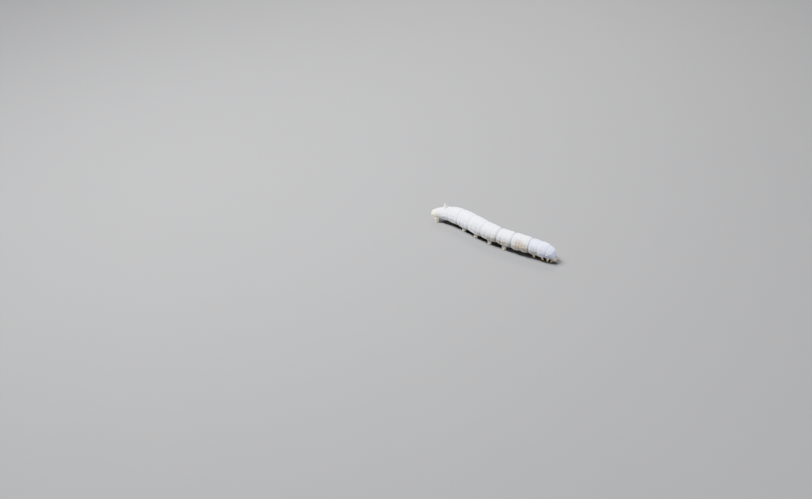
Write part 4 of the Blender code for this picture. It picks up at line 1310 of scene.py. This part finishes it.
# %% Grow them
HAIR_RADII = np.array([0.014, 0.011, 0.008, 0.002]) * MM
HAIR_AROUND = 3
low, high = np.array(CAD_BOX[0]), np.array(CAD_BOX[1])
hairs, hair_map = [], []
for i in roots:
    normal, root = skin_normals[i], skin_points[i]
    backwards = -frames_at(place[i])[1]
    sway = np.array([rng.uniform(-1, 1) for _ in range(3)]) * 0.35
    length = (0.28 + 0.3 * rng.random()) * MM
    lie = normal + 0.55 * backwards + sway
    lie /= np.linalg.norm(lie)
    tip = root + lie * length + backwards * 0.12 * length
    if (tip < low).any() or (tip > high).any():
        continue
    path = bent_path((root - normal * 0.05 * MM, root + lie * length * 0.55, tip), len(HAIR_RADII) - 1)
    hair = tube(rings_round(path, HAIR_RADII, np.cross(normal, backwards) + 1e-6, HAIR_AROUND))
    u, v = place[i] / BODY_LENGTH, (angle[i] + math.pi) / (2 * math.pi)
    for face in tube_faces(*hair[1:], len(hairs) * len(hair[0])):
        for k, n in enumerate(face):
            hair_map.append((u + BRISTLE_PATCH * (n % 3) / 2, v + BRISTLE_PATCH * (k / 3)))
    hairs.append(hair)
bristles = joined("fine_bristles", hairs)
layer = bristles.data.uv_layers.new(name="OFBake")
layer.data.foreach_set("uv", np.array(hair_map, np.float32).ravel())
bristles.data.shade_smooth()
print("bristles grown:", len(hairs), "with", len(bristles.data.polygons), "faces")

# %% Pale bristle finish
silky = Finish("pale_bristle", (0.72, 0.66, 0.56), 0.5)
silky.patches(700, 2, 0.4, 0.65, 1.0, (0.5, 0.42, 0.32))
wear(bristles, silky)
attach(bristles, "root")
print("finish:", silky.material.name)

# %% [markdown]
# ## Floor, light and camera
#
# The worm in the photo lies in soft daylight from above, bright along its whole upper side, with a
# blue-violet cast towards its head and a dark under edge. Studio light says the same plainly: a broad lamp
# above its hinder half, a weaker one behind it, a cool one towards its head, and an even daylight and a
# faint pale surrounding for everything. The floor is a plain grey, darker than the animal, so that its
# white reads as white.

# %% Plain floor
floor = object_from("studio_floor", [(-3, -3, 0), (3, -3, 0), (3, 3, 0), (-3, 3, 0)], [(0, 1, 2, 3)])
matt = Finish("matt_floor", (0.100, 0.098, 0.094), 0.85)
matt.patches(30, 3, 0.4, 0.6, 0.25, (0.095, 0.093, 0.090))
wear(floor, matt)
print("floor at height", floor.location.z)


# %% Lamps
def lamp(name, place, size, power, colour):
    light = bpy.data.lights.new(name, "AREA")
    light.shape = "DISK"
    light.size = size
    light.energy = power
    light.color = colour
    made = bpy.data.objects.new(name, light)
    made.location = place
    made.rotation_euler = (-Vector(place)).to_track_quat("-Z", "Y").to_euler()
    bpy.context.scene.collection.objects.link(made)


lamp("top_lamp", (-0.23, -0.06, 0.34), 0.2, 8.6, (0.91, 0.935, 1.0))
lamp("back_lamp", (-0.16, 0.30, 0.34), 0.2, 3.4, (0.96, 0.96, 1.0))
lamp("front_lamp", (0.48, -0.14, 0.24), 0.3, 2.0, (0.87, 0.91, 1.0))
daylight = bpy.data.lights.new("even_daylight", "SUN")
daylight.energy = 7.8
daylight.angle = math.radians(26)
daylight.color = (0.92, 0.94, 1.0)
even = bpy.data.objects.new("even_daylight", daylight)
even.rotation_euler = Vector((-0.20, -0.06, 0.40)).to_track_quat("Z", "Y").to_euler()
bpy.context.scene.collection.objects.link(even)
world = bpy.data.worlds.new("pale_studio")
world.use_nodes = True
backdrop = world.node_tree.nodes["Background"].inputs
backdrop["Color"].default_value = (0.82, 0.85, 0.92, 1.0)
backdrop["Strength"].default_value = 0.13
bpy.context.scene.world = world

# %% Camera
PHOTO_SIZE = (812, 499)
LENS, SENSOR = 50.0, 36.0
VIEW_ROUND, VIEW_ABOVE = math.radians(33.0), math.radians(35.7)
VIEW_DISTANCE = 0.573
WORM_CENTRE = Vector((0.0, 0.0, 0.0045))
WORM_IN_PHOTO = (406 + 87.9, 249.5 - 17.3)  # where the worm's centre stands in the photo, in pixels
flat = math.cos(VIEW_ABOVE)
toward = Vector((math.sin(VIEW_ROUND) * flat, -math.cos(VIEW_ROUND) * flat, math.sin(VIEW_ABOVE)))
right = Vector((math.cos(VIEW_ROUND), math.sin(VIEW_ROUND), 0.0))
metres_a_pixel = VIEW_DISTANCE / (PHOTO_SIZE[0] * LENS / SENSOR)
aside = (WORM_IN_PHOTO[0] - PHOTO_SIZE[0] / 2) * metres_a_pixel
below = (WORM_IN_PHOTO[1] - PHOTO_SIZE[1] / 2) * metres_a_pixel
lens = bpy.data.cameras.new("photo_camera")
lens.lens, lens.sensor_width = LENS, SENSOR
lens.clip_start, lens.clip_end = 0.01, 20.0
camera = bpy.data.objects.new("photo_camera", lens)
camera.location = WORM_CENTRE + toward * VIEW_DISTANCE - right * aside + toward.cross(right) * below
camera.rotation_euler = toward.to_track_quat("Z", "Y").to_euler()
bpy.context.scene.collection.objects.link(camera)
bpy.context.scene.camera = camera
print("camera at", [round(v, 4) for v in camera.location])
